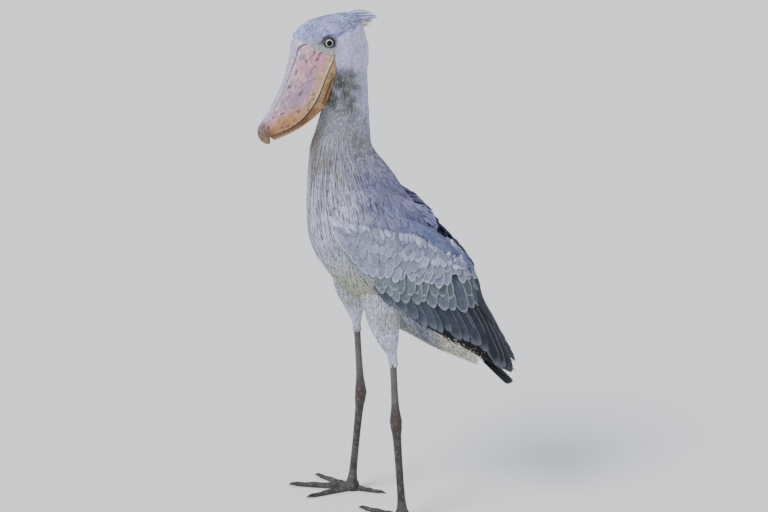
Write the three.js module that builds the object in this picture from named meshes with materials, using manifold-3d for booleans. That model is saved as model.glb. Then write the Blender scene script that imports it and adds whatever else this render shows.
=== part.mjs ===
import * as THREE from "three";
import { mergeVertices } from "three/addons/utils/BufferGeometryUtils.js";
import Module from "manifold-3d";

const wasm = await Module();
wasm.setup();

// A grown shoebill standing in a slow stride, life size, in millimetres. Z is up, the bird faces -Y
// and its left side is +X. Every size below is forward of, left of or above the floor between its feet.
const { degToRad, lerp, clamp, smoothstep } = THREE.MathUtils;
const GAP = 0.35; // between two pieces that meet
const LEFT = 1;
const RIGHT = -1;

// Feather blades
const BLADE_THICKNESS = 1.35;
const BLADE_EDGE = 0.65;

// Neck, torso and tail as one run of cross-sections from the head down to the tail's end.
// back and belly are measured across the run, side is half its width.
const TRUNK = [
  { forward: 86, up: 1105, back: 46, belly: 44, side: 42 },
  { forward: 88, up: 1050, back: 52, belly: 50, side: 46 },
  { forward: 90, up: 1000, back: 55, belly: 54, side: 48 },
  { forward: 93, up: 950, back: 60, belly: 66, side: 52 },
  { forward: 93, up: 900, back: 66, belly: 82, side: 63 },
  { forward: 84, up: 848, back: 86, belly: 100, side: 80 },
  { forward: 66, up: 790, back: 104, belly: 124, side: 98 },
  { forward: 40, up: 722, back: 118, belly: 142, side: 112 },
  { forward: 0, up: 650, back: 122, belly: 134, side: 116 },
  { forward: -52, up: 588, back: 120, belly: 112, side: 108 },
  { forward: -105, up: 532, back: 110, belly: 88, side: 92 },
  { forward: -152, up: 480, back: 86, belly: 62, side: 76 },
  { forward: -203, up: 438, back: 58, belly: 42, side: 60 },
  { forward: -255, up: 396, back: 34, belly: 22, side: 52 },
  { forward: -305, up: 352, back: 14, belly: 12, side: 50 },
];
const NECK_TOP = 0.1;
const NECK_BASE = 3.2;
const RUMP = 11.15;
const TAIL_ROOT_END = 12.2;

// Head, along the bill's own direction. ahead runs to the tip, above is at right angles to it.
const HEAD = { forward: 110, up: 1135, pitch: 48, yaw: 12, pivot: 85 };
const SKULL = [
  { ahead: -90, top: 16, bottom: 4, side: 7 },
  { ahead: -82, top: 31, bottom: -6, side: 22 },
  { ahead: -66, top: 48, bottom: -32, side: 38 },
  { ahead: -45, top: 65, bottom: -60, side: 48 },
  { ahead: -15, top: 86, bottom: -84, side: 54 },
  { ahead: 10, top: 96, bottom: -94, side: 55 },
  { ahead: 32, top: 98, bottom: -100, side: 52 },
  { ahead: 50, top: 91, bottom: -104, side: 46 },
  { ahead: 66, top: 30, bottom: -104, side: 43 },
  { ahead: 82, top: -38, bottom: -100, side: 39 },
  { ahead: 106, top: -50, bottom: -90, side: 33 },
  { ahead: 126, top: -58, bottom: -72, side: 18 },
];
// Bill: culmen is the ridge's height, mouth the height of the line where the two halves meet, chin the
// lower edge, ridge half the ridge's width, side half the width at the mouth.
const BILL = [
  { ahead: 15.5, culmen: 67, mouth: -1, chin: -28, side: 54, ridge: 13 },
  { ahead: 36, culmen: 83, mouth: -8, chin: -37, side: 57, ridge: 14 },
  { ahead: 58, culmen: 89, mouth: -15, chin: -46, side: 57, ridge: 14 },
  { ahead: 80, culmen: 74, mouth: -23, chin: -54, side: 56, ridge: 13 },
  { ahead: 112, culmen: 57, mouth: -35, chin: -65, side: 54, ridge: 13 },
  { ahead: 145, culmen: 42, mouth: -42, chin: -66, side: 51, ridge: 12 },
  { ahead: 180, culmen: 32, mouth: -43, chin: -60, side: 45, ridge: 12 },
  { ahead: 212, culmen: 24, mouth: -36, chin: -51, side: 35, ridge: 11 },
  { ahead: 238, culmen: 20, mouth: -25, chin: -40, side: 24, ridge: 10 },
  { ahead: 256, culmen: 17, mouth: -16, chin: -31, side: 14, ridge: 9 },
];
const LOWER_BILL_INSET = 0.94; // its width beside the upper half's
const HOOK = [
  { ahead: 240, above: 5, wide: 11, deep: 15 },
  { ahead: 254, above: 4, wide: 10.5, deep: 14 },
  { ahead: 264, above: -1, wide: 9, deep: 11 },
  { ahead: 270, above: -11, wide: 6.5, deep: 8 },
  { ahead: 271, above: -20, wide: 4, deep: 5 },
  { ahead: 269, above: -28, wide: 1.6, deep: 2 },
];
const EYE = { ahead: 2, above: 28, left: 45.5, radius: 12.5 };

// Legs, from the body down. front is half the depth, side half the width.
const LEGS = {
  [LEFT]: {
    name: "left",
    thigh: [
      { forward: 22, left: 54, up: 600, front: 46, side: 34 },
      { forward: 6, left: 68, up: 548, front: 43, side: 35 },
      { forward: -5, left: 79, up: 498, front: 38, side: 33 },
      { forward: -14, left: 85, up: 458, front: 26, side: 24 },
      { forward: -22, left: 85, up: 426, front: 14, side: 13 },
      { forward: -26, left: 85, up: 404, front: 9.6, side: 9.2 },
    ],
    shank: { forward: -26, left: 85, up: 404 },
    hock: { forward: -33, left: 86, up: 253 },
    ankle: { forward: -49, left: 90, up: 22 },
  },
  [RIGHT]: {
    name: "right",
    thigh: [
      { forward: 88, left: -54, up: 610, front: 46, side: 34 },
      { forward: 86, left: -70, up: 555, front: 42, side: 35 },
      { forward: 80, left: -81, up: 512, front: 32, side: 30 },
      { forward: 76, left: -85, up: 478, front: 20, side: 19 },
      { forward: 73, left: -85, up: 452, front: 11.5, side: 11 },
      { forward: 72, left: -85, up: 436, front: 9.4, side: 9 },
    ],
    shank: { forward: 72, left: -85, up: 436 },
    hock: { forward: 63, left: -86, up: 266 },
    ankle: { forward: 87, left: -90, up: 22 },
  },
};
const SHANK_RADIUS = 8.8;
const HOCK_RADIUS = 15;
const FOOT = { front: 19, side: 17, height: 22 };
// Toes: out is the angle away from the bird's middle, hind points back.
const TOES = [
  { name: "inner", out: -30, length: 108, radius: 8.5 },
  { name: "middle", out: 6, length: 146, radius: 9.5 },
  { name: "outer", out: 40, length: 116, radius: 8.5 },
  { name: "hind", out: 196, length: 72, radius: 7.5 },
];
const CLAW_LENGTH = 21;

// Wing, as lines in side view, forward and up, that are laid on the body's side.
const FOREARM = [[92, 748], [24, 743], [-58, 714], [-128, 668], [-188, 610]];
const FOREARM_PAD = { below: 11, above: 36, height: 35, climb: 10 };
const SHOULDER = [[62, 786], [4, 792], [-58, 768], [-112, 724]];
const SHOULDER_PAD = { below: 20, above: 26, height: 31, climb: 11 };
const HAND = [[88, 742], [62, 690], [24, 630], [-20, 575], [-62, 535]];
const HAND_PAD = { below: 14, above: 10, height: 12, climb: 0 };
const FEATHER_ROWS = [
  {
    name: "primaries", count: 3, arm: HAND, from: 0.55, to: 0.97, half: 18, steps: 3, point: 0.3,
    rise: 3.1, lift: 5.4, lag: 1,
    tips: [[-214, 440], [-268, 396], [-314, 344]],
  },
  {
    name: "secondaries", count: 7, arm: FOREARM, from: 0.02, to: 0.9, half: 24, steps: 4, point: 0.55,
    rise: 11, lift: 9, lag: 2,
    tips: [[-22, 556], [-76, 522], [-132, 496], [-186, 470], [-226, 446], [-258, 410], [-292, 370]],
  },
  {
    name: "tertials", count: 2, arm: FOREARM, from: 0.9, to: 1, half: 22, steps: 4, point: 0.55,
    rise: 23.5, lift: 6.5, lag: 1,
    tips: [[-306, 372], [-300, 420], [-286, 470], [-262, 520]],
  },
  {
    name: "greater_coverts", count: 7, arm: FOREARM, from: 0.01, to: 0.94, half: 25, steps: 2, point: 0.55,
    rise: 15.8, lift: 9, lag: 2,
    tips: [[50, 632], [6, 590], [-36, 566], [-84, 552], [-134, 538], [-184, 522], [-226, 520]],
  },
  {
    name: "median_coverts", count: 7, arm: FOREARM, from: 0.01, to: 0.96, half: 24, steps: 2, point: 0.55,
    rise: 20.6, lift: 9, lag: 2,
    tips: [[78, 682], [44, 640], [0, 622], [-48, 610], [-98, 598], [-150, 588], [-212, 586]],
  },
  {
    name: "lesser_coverts", count: 6, arm: FOREARM, from: 0.04, to: 0.97, half: 25, steps: 2, point: 0.55,
    rise: 25.4, lift: 9, lag: 2,
    tips: [[88, 724], [44, 694], [-4, 680], [-52, 664], [-98, 644], [-144, 630], [-192, 606]],
  },
  {
    name: "scapulars", count: 5, arm: SHOULDER, from: 0.1, to: 0.98, half: 24, steps: 3, point: 0.6,
    rise: 25, lift: 10, lag: 1,
    tips: [[-40, 730], [-92, 712], [-142, 686], [-182, 652], [-212, 606], [-236, 560]],
  },
];
const SHINGLE = 0.085; // how steeply a blade tilts up to its front edge, over its neighbour

const TAIL = { count: 10, half: 16, spread: 9, length: 200, root: 11.35, step: 1.05, tilt: 4 };
const CREST = { count: 5, length: 62, half: 7.5 };
const PLUMES = [
  { station: 3.5, count: 6, length: 1.1, half: 9 },
  { station: 4.4, count: 7, length: 1.2, half: 10 },
  { station: 5.3, count: 6, length: 1.2, half: 11 },
];
const VENT_TUFTS = { count: 5, station: 10.1, half: 13, length: 0.9 };

const COLOURS = {
  plumage: { color: 0x9a9db0, roughness: 0.85 },
  pale: { color: 0xb9b9bd, roughness: 0.9 },
  flight: { color: 0x5b6276, roughness: 0.7 },
  bill: { color: 0xc39a86, roughness: 0.5 },
  eye: { color: 0xcfd2b8, roughness: 0.15 },
  leg: { color: 0x5c5456, roughness: 0.75 },
  claw: { color: 0x3a3330, roughness: 0.5 },
};

const place = (forward, left, up) => new THREE.Vector3(left, -forward, up);

// A steady stream of numbers from 0 to 1 for natural variety.
function chance(seed) {
  let state = seed * 2654435761;
  return () => {
    state = (Math.imul(state ^ (state >>> 15), 2246822519) + 374761393) | 0;
    return ((state ^ (state >>> 13)) >>> 0) / 4294967296;
  };
}

// A smooth value of one column of a table, at x counted in rows.
function columnAt(table, name, x) {
  const last = table.length - 1;
  const row = clamp(Math.floor(x), 0, last - 1);
  const t = x - row;
  const value = (i) => table[clamp(row + i, 0, last)][name];
  const [a, b, c, d] = [value(-1), value(0), value(1), value(2)];
  return 0.5 * (2 * b + (c - a) * t + (2 * a - 5 * b + 4 * c - d) * t * t + (3 * b - a - 3 * c + d) * t ** 3);
}

function rowAt(table, x) {
  return Object.fromEntries(Object.keys(table[0]).map((name) => [name, columnAt(table, name, x)]));
}

function steps(from, to, count) {
  return Array.from({ length: count + 1 }, (_, i) => lerp(from, to, i / count));
}

// A geometry as a closed solid, turned right side out.
function solidOf(geometry) {
  const bare = geometry.clone();
  bare.deleteAttribute("normal");
  bare.deleteAttribute("uv");
  const merged = mergeVertices(bare, 2e-3);
  const vertProperties = merged.attributes.position.array;
  const triVerts = new Uint32Array(merged.index.array);
  const made = new wasm.Manifold(new wasm.Mesh({ numProp: 3, vertProperties, triVerts }));
  if (made.volume() > 0) return made;
  triVerts.reverse();
  return new wasm.Manifold(new wasm.Mesh({ numProp: 3, vertProperties, triVerts }));
}

// The closed skin through rings of points. A ring of one point is a tip, and other ends are capped.
// On a thin sheet the columns from the turned one on are split the other way, so both faces stay parallel.
function skinOf(rings, turned = Infinity) {
  const points = rings.flat();
  const faces = [];
  let start = 0;
  rings.forEach((ring, i) => {
    const next = rings[i + 1];
    const after = start + ring.length;
    const count = Math.max(ring.length, next ? next.length : 0);
    for (let j = 0; next && j < count; j++) {
      const k = (j + 1) % count;
      const [a, b] = ring.length === 1 ? [start, start] : [start + j, start + k];
      const [c, d] = next.length === 1 ? [after, after] : [after + j, after + k];
      const [e, f] = j >= turned ? [c, b] : [d, a];
      if (a !== b) faces.push(a, b, e);
      if (c !== d) faces.push(f, d, c);
    }
    if (ring.length > 1 && (i === 0 || !next)) {
      for (let j = 1; j < ring.length - 1; j++) {
        faces.push(...(i === 0 ? [start, start + j + 1, start + j] : [start, start + j, start + j + 1]));
      }
    }
    start = after;
  });
  const geometry = new THREE.BufferGeometry().setFromPoints(points);
  geometry.setIndex(faces);
  return solidOf(geometry);
}

const join = (solids) => wasm.Manifold.union(solids);

const largest = (solid) => solid.decompose().sort((a, b) => b.volume() - a.volume())[0];

function geometryOf(solid) {
  const { numProp, numVert, vertProperties, triVerts } = solid.getMesh();
  const positions = new Float32Array(numVert * 3);
  for (let i = 0; i < numVert; i++) {
    positions.set(vertProperties.subarray(i * numProp, i * numProp + 3), i * 3);
  }
  const geometry = new THREE.BufferGeometry();
  geometry.setAttribute("position", new THREE.BufferAttribute(positions, 3));
  geometry.setIndex(new THREE.BufferAttribute(triVerts, 1));
  return geometry;
}

// The largest closed surface of a solid, filled, with its needle faces collapsed.
const whole = (solid) => largest(solidOf(geometryOf(largest(solid).simplify(0.06))));

// Trunk

const trunkCentre = (k) => new THREE.Vector2(columnAt(TRUNK, "forward", k), columnAt(TRUNK, "up", k));

function trunkFrame(k) {
  const here = trunkCentre(k);
  const run = trunkCentre(k + 0.05).sub(trunkCentre(k - 0.05));
  const stride = run.length() / 0.1;
  run.normalize();
  return { here, run, dorsal: new THREE.Vector2(run.y, -run.x), stride };
}

// A point on the trunk: angle in degrees from the middle of the back round to the belly, rise above it.
function trunkPoint(k, angle, rise, hand) {
  const { here, dorsal } = trunkFrame(k);
  const cos = Math.cos(degToRad(angle));
  const sin = Math.sin(degToRad(angle));
  const deep = columnAt(TRUNK, cos > 0 ? "back" : "belly", k);
  const wide = columnAt(TRUNK, "side", k);
  const out = new THREE.Vector2(cos / deep, sin / wide).normalize();
  const along = deep * cos + rise * out.x;
  return place(here.x + dorsal.x * along, hand * (wide * sin + rise * out.y), here.y + dorsal.y * along);
}

function trunkRing(k, sides, rise) {
  return steps(0, 360, sides).slice(0, sides).map((angle) => trunkPoint(k, angle, rise, LEFT));
}

const trunkPart = (from, to, rings, sides, rise = 0) =>
  skinOf(steps(from, to, rings).map((k) => trunkRing(k, sides, rise)));

// The station and angle of the trunk's side where a side view shows a point.
function trunkSpot(forward, up) {
  const target = new THREE.Vector2(forward, up);
  const ahead = (k) => target.clone().sub(trunkCentre(k)).dot(trunkFrame(k).run);
  let [low, high] = [0.5, TRUNK.length - 1];
  for (let i = 0; i < 24; i++) {
    const middle = (low + high) / 2;
    if (ahead(middle) > 0) low = middle;
    else high = middle;
  }
  const k = (low + high) / 2;
  const depth = target.sub(trunkCentre(k)).dot(trunkFrame(k).dorsal);
  const reach = columnAt(TRUNK, depth > 0 ? "back" : "belly", k) + 8;
  const angle = (Math.acos(clamp(depth / reach, -0.98, 0.98)) * 180) / Math.PI;
  return { k, angle };
}

// Directions on the trunk's skin at a spot, each in millimetres of travel for one unit.
function trunkTangents({ k, angle }, hand) {
  const along = trunkPoint(k + 0.02, angle, 0, hand).sub(trunkPoint(k - 0.02, angle, 0, hand)).divideScalar(0.04);
  const round = trunkPoint(k, angle + 1, 0, hand).sub(trunkPoint(k, angle - 1, 0, hand)).divideScalar(2);
  const out = new THREE.Vector3().crossVectors(along, round).normalize();
  if (out.dot(trunkPoint(k, angle, 5, hand).sub(trunkPoint(k, angle, 0, hand))) < 0) out.negate();
  return { along, round, out };
}

// A spot moved over the skin by a vector.
function trunkStep(spot, move, hand) {
  const { along, round } = trunkTangents(spot, hand);
  const [aa, ar, rr] = [along.dot(along), along.dot(round), round.dot(round)];
  const [ma, mr] = [move.dot(along), move.dot(round)];
  const det = aa * rr - ar * ar;
  return {
    k: spot.k + (ma * rr - mr * ar) / det,
    angle: Math.max(2, spot.angle + (mr * aa - ma * ar) / det),
  };
}

const curveOf = (pairs) => new THREE.SplineCurve(pairs.map(([forward, up]) => new THREE.Vector2(forward, up)));

// Half the width of a feather along its length: narrow at the root, widest past its middle.
function bladeHalf(t, half, point) {
  const opening = 0.62 + 0.38 * smoothstep(t, 0, 0.45);
  const closing = t < point ? 1 : Math.sqrt(Math.max(0, 1 - ((t - point) / (1.02 - point)) ** 2));
  return half * opening * closing;
}

// The stops along a feather, closer towards the tip.
const bladeStops = (count) => steps(0, 1, count).map((x) => (1 - (1 - x) ** 1.35) * 0.985);

// A feather from its middle line. at(t) gives a point, the way to its front edge and the way out.
function blade(at, half, point, count) {
  const rings = bladeStops(count).map((t) => {
    const { middle, edge, lift } = at(t);
    const wide = bladeHalf(t, half, point);
    const front = edge(wide);
    const rear = edge(-wide);
    const shaft = middle.clone().addScaledVector(lift, BLADE_THICKNESS - BLADE_EDGE);
    const up = (p) => p.clone().addScaledVector(lift, BLADE_EDGE / 2);
    const down = (p) => p.clone().addScaledVector(lift, -BLADE_EDGE / 2);
    return [up(front), up(shaft), up(rear), down(rear), down(middle), down(front)];
  });
  const { middle } = at(1);
  return skinOf([...rings, [middle]], 3);
}

// A feather laid over the trunk's side between two points of the side view.
function sideFeather(root, tip, row, hand) {
  const { rise } = row;
  const spotAt = (t) => trunkSpot(lerp(root.x, tip.x, t), lerp(root.y, tip.y, t));
  const pointAt = (t) => {
    const { k, angle } = spotAt(t);
    return trunkPoint(k, angle, rise, hand);
  };
  const at = (t) => {
    const spot = spotAt(t);
    const middle = pointAt(t);
    const run = pointAt(Math.min(1, t + 0.04)).sub(pointAt(t - 0.04)).normalize();
    const lift = trunkTangents(spot, hand).out;
    const front = new THREE.Vector3().crossVectors(run, lift).multiplyScalar(hand);
    const edge = (wide) => {
      const { k, angle } = trunkStep(spot, front.clone().multiplyScalar(wide), hand);
      return trunkPoint(k, angle, rise + SHINGLE * wide, hand);
    };
    return { middle, edge, lift };
  };
  return blade(at, row.half, row.point, row.steps);
}

// A flat lens of flesh laid on the trunk's side along a line, rounded at both ends.
function sidePad(line, { below, above, height, climb }, rings, hand) {
  const first = line[0].map((value, i) => value + 0.3 * (value - line[1][i]));
  const last = line.at(-1).map((value, i) => value + 0.3 * (value - line.at(-2)[i]));
  const curve = curveOf([first, ...line, last]);
  const ends = (t) => Math.sqrt(Math.max(0.05, 1 - (2 * t - 1) ** 8));
  return skinOf(steps(0, 1, rings).map((t) => {
    const here = curve.getPoint(t);
    const spot = trunkSpot(here.x, here.y);
    const { out } = trunkTangents(spot, hand);
    const before = curve.getPoint(Math.max(0, t - 0.03));
    const after = curve.getPoint(Math.min(1, t + 0.03));
    const run = place(after.x - before.x, 0, after.y - before.y);
    const across = new THREE.Vector3().crossVectors(run, out).normalize().multiplyScalar(hand);
    return steps(0, 360, 6).slice(0, 6).map((turn) => {
      const cos = Math.cos(degToRad(turn));
      const wide = ends(t) * cos * (cos > 0 ? below : above);
      const tall = Math.sin(degToRad(turn)) * (turn < 180 ? (height + climb * t * t) * ends(t) : 7) - 1;
      const { k, angle } = trunkStep(spot, across.clone().multiplyScalar(wide), hand);
      return trunkPoint(k, angle, tall, hand);
    });
  }));
}

const thighTop = (hand, grow) => limb(LEGS[hand].thigh, 7, 12, SIDEWAYS, grow);

function makeWing(hand) {
  const luck = chance(hand === LEFT ? 11 : 23);
  const parts = [
    sidePad(FOREARM, FOREARM_PAD, 5, hand),
    sidePad(SHOULDER, SHOULDER_PAD, 4, hand),
    sidePad(HAND, HAND_PAD, 3, hand),
  ];
  for (const row of FEATHER_ROWS) {
    const arm = curveOf(row.arm);
    const ends = curveOf(row.tips);
    for (let i = 0; i < row.count; i++) {
      const share = i / (row.count - 1);
      const root = arm.getPoint(lerp(row.from, row.to, share));
      const tip = ends.getPoint(share);
      const reach = 1 + 0.05 * (luck() - 0.5);
      tip.sub(root).multiplyScalar(reach).add(root);
      const half = row.half * (1 + 0.1 * (luck() - 0.5));
      const rise = row.rise + row.lift * share ** row.lag;
      parts.push(sideFeather(root, tip, { ...row, half, rise }, hand));
    }
  }
  const body = join([torsoCore(GAP), trunkPart(RUMP - 0.1, TRUNK.length - 1, 6, 18, GAP)]);
  const middle = join(parts).trimByPlane([hand, 0, 0], 1.2);
  return whole(middle.subtract(body).subtract(thighTop(hand, GAP)));
}

// Tail: a short fleshy root with the feathers fanned from it, the middle pair on top.
function makeTail() {
  const parts = [trunkPart(RUMP + 0.02, TAIL_ROOT_END, 4, 18, -2)];
  const { here, run, dorsal } = trunkFrame(TAIL.root);
  const root = place(here.x, 0, here.y);
  const back = place(dorsal.x, 0, dorsal.y);
  const straight = place(run.x, 0, run.y).applyAxisAngle(new THREE.Vector3(1, 0, 0), degToRad(-TAIL.tilt));
  const luck = chance(5);
  for (let i = 0; i < TAIL.count; i++) {
    const out = (i - (TAIL.count - 1) / 2) / ((TAIL.count - 1) / 2);
    const way = straight.clone().applyAxisAngle(back, degToRad(TAIL.spread * out));
    const length = TAIL.length * (1 - 0.05 * out * out + 0.02 * luck());
    const level = 5 - TAIL.step * (TAIL.count * Math.abs(out) + (out > 0 ? 1 : 0));
    const side = new THREE.Vector3().crossVectors(back, way).normalize();
    const at = (t) => {
      const middle = root.clone().addScaledVector(way, length * t).addScaledVector(back, level);
      const edge = (wide) => middle.clone().addScaledVector(side, wide).addScaledVector(back, -Math.abs(wide) * 0.03);
      return { middle, edge, lift: back };
    };
    parts.push(blade(at, TAIL.half, 0.82, 3));
  }
  return whole(join(parts));
}

// Plumes that hang over the breast, and the soft tufts under the tail.
function hangingPlume(station, angle, reach, half, hand, lift) {
  const at = (t) => {
    const spot = { k: station + reach * t, angle };
    const { out, along } = trunkTangents(spot, hand);
    const rise = lerp(-3, lift, Math.sqrt(t));
    const middle = trunkPoint(spot.k, angle, rise, hand);
    const across = new THREE.Vector3().crossVectors(out, along).normalize();
    const edge = (wide) => middle.clone().addScaledVector(across, wide).addScaledVector(out, -0.12 * Math.abs(wide));
    return { middle, edge, lift: out };
  };
  return blade(at, half, 0.35, 2);
}

const torsoCore = (grow) => trunkPart(NECK_BASE + GAP / trunkFrame(NECK_BASE).stride, RUMP, 14, 18, grow);

function makeTorso() {
  const parts = [torsoCore(0)];
  const luck = chance(3);
  PLUMES.forEach((row, level) => {
    for (let i = 0; i < row.count; i++) {
      const angle = lerp(-54, 54, (i + 0.4 * (level % 2)) / (row.count - 0.6));
      const hand = angle < 0 ? RIGHT : LEFT;
      const station = row.station + 0.15 * luck();
      parts.push(hangingPlume(station, 180 - Math.abs(angle), row.length, row.half, hand, 5 + 2 * luck()));
    }
  });
  for (let i = 0; i < VENT_TUFTS.count; i++) {
    const angle = lerp(-56, 56, i / (VENT_TUFTS.count - 1));
    const hand = angle < 0 ? RIGHT : LEFT;
    const station = VENT_TUFTS.station + 0.2 * luck();
    parts.push(hangingPlume(station, 180 - Math.abs(angle), VENT_TUFTS.length, VENT_TUFTS.half, hand, 9));
  }
  return whole(join(parts));
}

// Head

function headPoint(ahead, above, left) {
  const [cosPitch, sinPitch] = [Math.cos(degToRad(HEAD.pitch)), Math.sin(degToRad(HEAD.pitch))];
  const [cosYaw, sinYaw] = [Math.cos(degToRad(HEAD.yaw)), Math.sin(degToRad(HEAD.yaw))];
  const forward = HEAD.forward + ahead * cosPitch + above * sinPitch - HEAD.pivot;
  const up = HEAD.up - ahead * sinPitch + above * cosPitch;
  return place(HEAD.pivot + forward * cosYaw - left * sinYaw, forward * sinYaw + left * cosYaw, up);
}

// The turn and place of something made about the origin, to sit at a point of the head.
function headMatrix(ahead, above, left) {
  const origin = headPoint(ahead, above, left);
  const axis = (a, b, c) => headPoint(ahead + a, above + b, left + c).sub(origin);
  return new THREE.Matrix4().makeBasis(axis(0, 0, 1), axis(1, 0, 0), axis(0, 1, 0)).setPosition(origin);
}

const onHead = (geometry, ahead, above, left) => solidOf(geometry.applyMatrix4(headMatrix(ahead, above, left)));

function skull(grow) {
  return skinOf(steps(0, SKULL.length - 1, 14).map((x) => {
    const { ahead, top, bottom, side } = rowAt(SKULL, x);
    const [middle, tall] = [(top + bottom) / 2, (top - bottom) / 2 + grow];
    return steps(0, 360, 16).slice(0, 16).map((turn) => {
      const [cos, sin] = [Math.cos(degToRad(turn)), Math.sin(degToRad(turn))];
      return headPoint(ahead, middle + tall * cos, (side + grow) * sin);
    });
  }));
}

// One half of a section of the upper bill, from the ridge down to the mouth: [height, out from the middle].
function upperHalf({ culmen, mouth, side, ridge }, grow) {
  const top = culmen + grow;
  const groove = Math.min(4, (culmen - mouth) * 0.08);
  const low = mouth + GAP / 2 - grow;
  const keel = ridge + grow;
  const outline = [[top, 0], [top - 1.2, keel * 0.75], [top - groove * 1.9, keel + 1.5]];
  for (const height of [0.8, 0.55, 0.28, 0.06]) {
    const out = (1 - height ** 1.6) ** (1 / 1.6);
    outline.push([lerp(low, top, height), lerp(keel, side + grow, out)]);
  }
  outline.push([low, side + grow - 2.5]);
  return outline;
}

function lowerHalf({ mouth, chin, side }, grow) {
  const top = mouth - GAP / 2 + grow;
  const wide = side * LOWER_BILL_INSET + grow;
  return [[top, wide - 2.5], [lerp(top, chin, 0.12), wide]].concat(
    [25, 48, 70].map((turn) => [
      lerp(top, chin - grow, Math.sin(degToRad(turn))),
      wide * Math.cos(degToRad(turn)) ** 0.8,
    ]),
    [[chin - grow, 0]],
  );
}

// A bill half: mirrored outlines at every station, closed straight across between the open ends.
function billPart(halfAt, grow) {
  return skinOf(steps(0, BILL.length - 1, 12).map((x) => {
    const row = rowAt(BILL, x);
    const outline = halfAt(row, grow);
    const mirrored = outline.filter(([, out]) => out > 0).reverse();
    const ahead = x === 0 ? row.ahead - grow : row.ahead;
    return [...outline.map(([above, out]) => headPoint(ahead, above, out)),
      ...mirrored.map(([above, out]) => headPoint(ahead, above, -out))];
  }));
}

function hook(grow) {
  const rings = steps(0, HOOK.length - 1, 7).map((x) => {
    const { ahead, above, wide, deep } = rowAt(HOOK, x);
    const before = rowAt(HOOK, x - 0.1);
    const after = rowAt(HOOK, x + 0.1);
    const run = new THREE.Vector2(after.ahead - before.ahead, after.above - before.above).normalize();
    return steps(0, 360, 8).slice(0, 8).map((turn) => {
      const out = (deep + grow) * Math.cos(degToRad(turn));
      return headPoint(ahead - run.y * out, above + run.x * out, (wide + grow) * Math.sin(degToRad(turn)));
    });
  });
  return skinOf(rings);
}

function nostril(hand) {
  const slit = new THREE.BoxGeometry(2.4, 20, 5);
  slit.rotateX(degToRad(-30));
  return onHead(slit, 66, 77, hand * 16.5);
}

const upperBill = (grow) => join([billPart(upperHalf, grow), hook(grow)]);
const lowerBill = (grow) => billPart(lowerHalf, grow);

const eyeBall = (hand, grow) =>
  onHead(new THREE.SphereGeometry(EYE.radius + grow, 12, 9), EYE.ahead, EYE.above, hand * EYE.left);

// Lids: a ring round the eye, with a heavy brow over it.
function lids(hand) {
  const ring = new THREE.TorusGeometry(EYE.radius + 0.8, 3.4, 5, 12).rotateY(Math.PI / 2);
  ring.rotateZ(degToRad(-8 * hand));
  const brow = new THREE.SphereGeometry(1, 8, 6).rotateX(Math.PI / 2).scale(8, 21, 6);
  brow.rotateX(degToRad(24));
  return join([
    onHead(ring, EYE.ahead, EYE.above, hand * (EYE.left + 4)),
    onHead(brow, EYE.ahead + 3, EYE.above + 17, hand * (EYE.left - 0.5)),
  ]);
}

// The short crest of pointed feathers at the back of the crown, the middle one longest and on top.
function crest() {
  return steps(-1, 1, CREST.count - 1).map((spread) => {
    const side = Math.abs(spread);
    const length = CREST.length * (1 - 0.3 * side);
    const root = headPoint(-60, 36 - 12 * side, 8 * spread);
    const bend = headPoint(-74 - length * 0.2, 38 - 16 * side - length * 0.12, 13 * spread);
    const tip = headPoint(-72 - length * 0.6, 30 - 18 * side - length * 0.6, 17 * spread);
    const curve = new THREE.QuadraticBezierCurve3(root, bend, tip);
    const flat = headPoint(0, 0, 1).sub(headPoint(0, 0, 0));
    const at = (t) => {
      const across = flat.clone().applyAxisAngle(curve.getTangent(t), degToRad(-52 * spread));
      const lift = new THREE.Vector3().crossVectors(across, curve.getTangent(t)).normalize();
      const middle = curve.getPoint(t);
      const edge = (wide) => middle.clone().addScaledVector(across, wide).addScaledVector(lift, -0.15 * Math.abs(wide));
      return { middle, edge, lift };
    };
    return blade(at, CREST.half, 0.4, 2);
  });
}

function makeHead(bill) {
  const flesh = join([skull(0), lids(LEFT), lids(RIGHT), ...crest()]);
  return whole(flesh.subtract(bill).subtract(eyeBall(LEFT, GAP)).subtract(eyeBall(RIGHT, GAP)));
}

function makeNeck(bill) {
  const column = trunkPart(NECK_TOP, NECK_BASE, 7, 18);
  return whole(column.subtract(skull(GAP)).subtract(bill));
}

// Legs

// A limb through stations with a place and two radii. across is the limb's sideways direction. It is
// flat where it lies on the floor.
function limb(stations, rings, sides, across, grow = 0) {
  return skinOf(steps(0, stations.length - 1, rings).map((x) => {
    const row = rowAt(stations, x);
    const [before, after] = [rowAt(stations, x - 0.1), rowAt(stations, x + 0.1)];
    const run = place(after.forward - before.forward, after.left - before.left, after.up - before.up).normalize();
    const wide = across.clone().addScaledVector(run, -across.dot(run)).normalize();
    const deep = new THREE.Vector3().crossVectors(wide, run).normalize();
    const middle = place(row.forward, row.left, row.up);
    return steps(0, 360, sides).slice(0, sides).map((turn) => {
      const point = middle.clone()
        .addScaledVector(deep, (row.front + grow) * Math.cos(degToRad(turn)))
        .addScaledVector(wide, (row.side + grow) * Math.sin(degToRad(turn)));
      return point.setZ(Math.max(0, point.z));
    });
  }));
}

const SIDEWAYS = new THREE.Vector3(1, 0, 0);

function between(a, b, t, front, side) {
  return {
    forward: lerp(a.forward, b.forward, t), left: lerp(a.left, b.left, t), up: lerp(a.up, b.up, t), front, side,
  };
}

// A flat cut across a leg at a share of the way between two points, keeping what is above or below it.
function cutLeg(solid, a, b, t, keepBelow, gap) {
  const down = place(b.forward - a.forward, b.left - a.left, b.up - a.up).normalize();
  const spot = place(lerp(a.forward, b.forward, t), lerp(a.left, b.left, t), lerp(a.up, b.up, t));
  const normal = keepBelow ? down : down.clone().negate();
  return solid.trimByPlane(normal.toArray(), spot.dot(normal) + gap);
}

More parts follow.
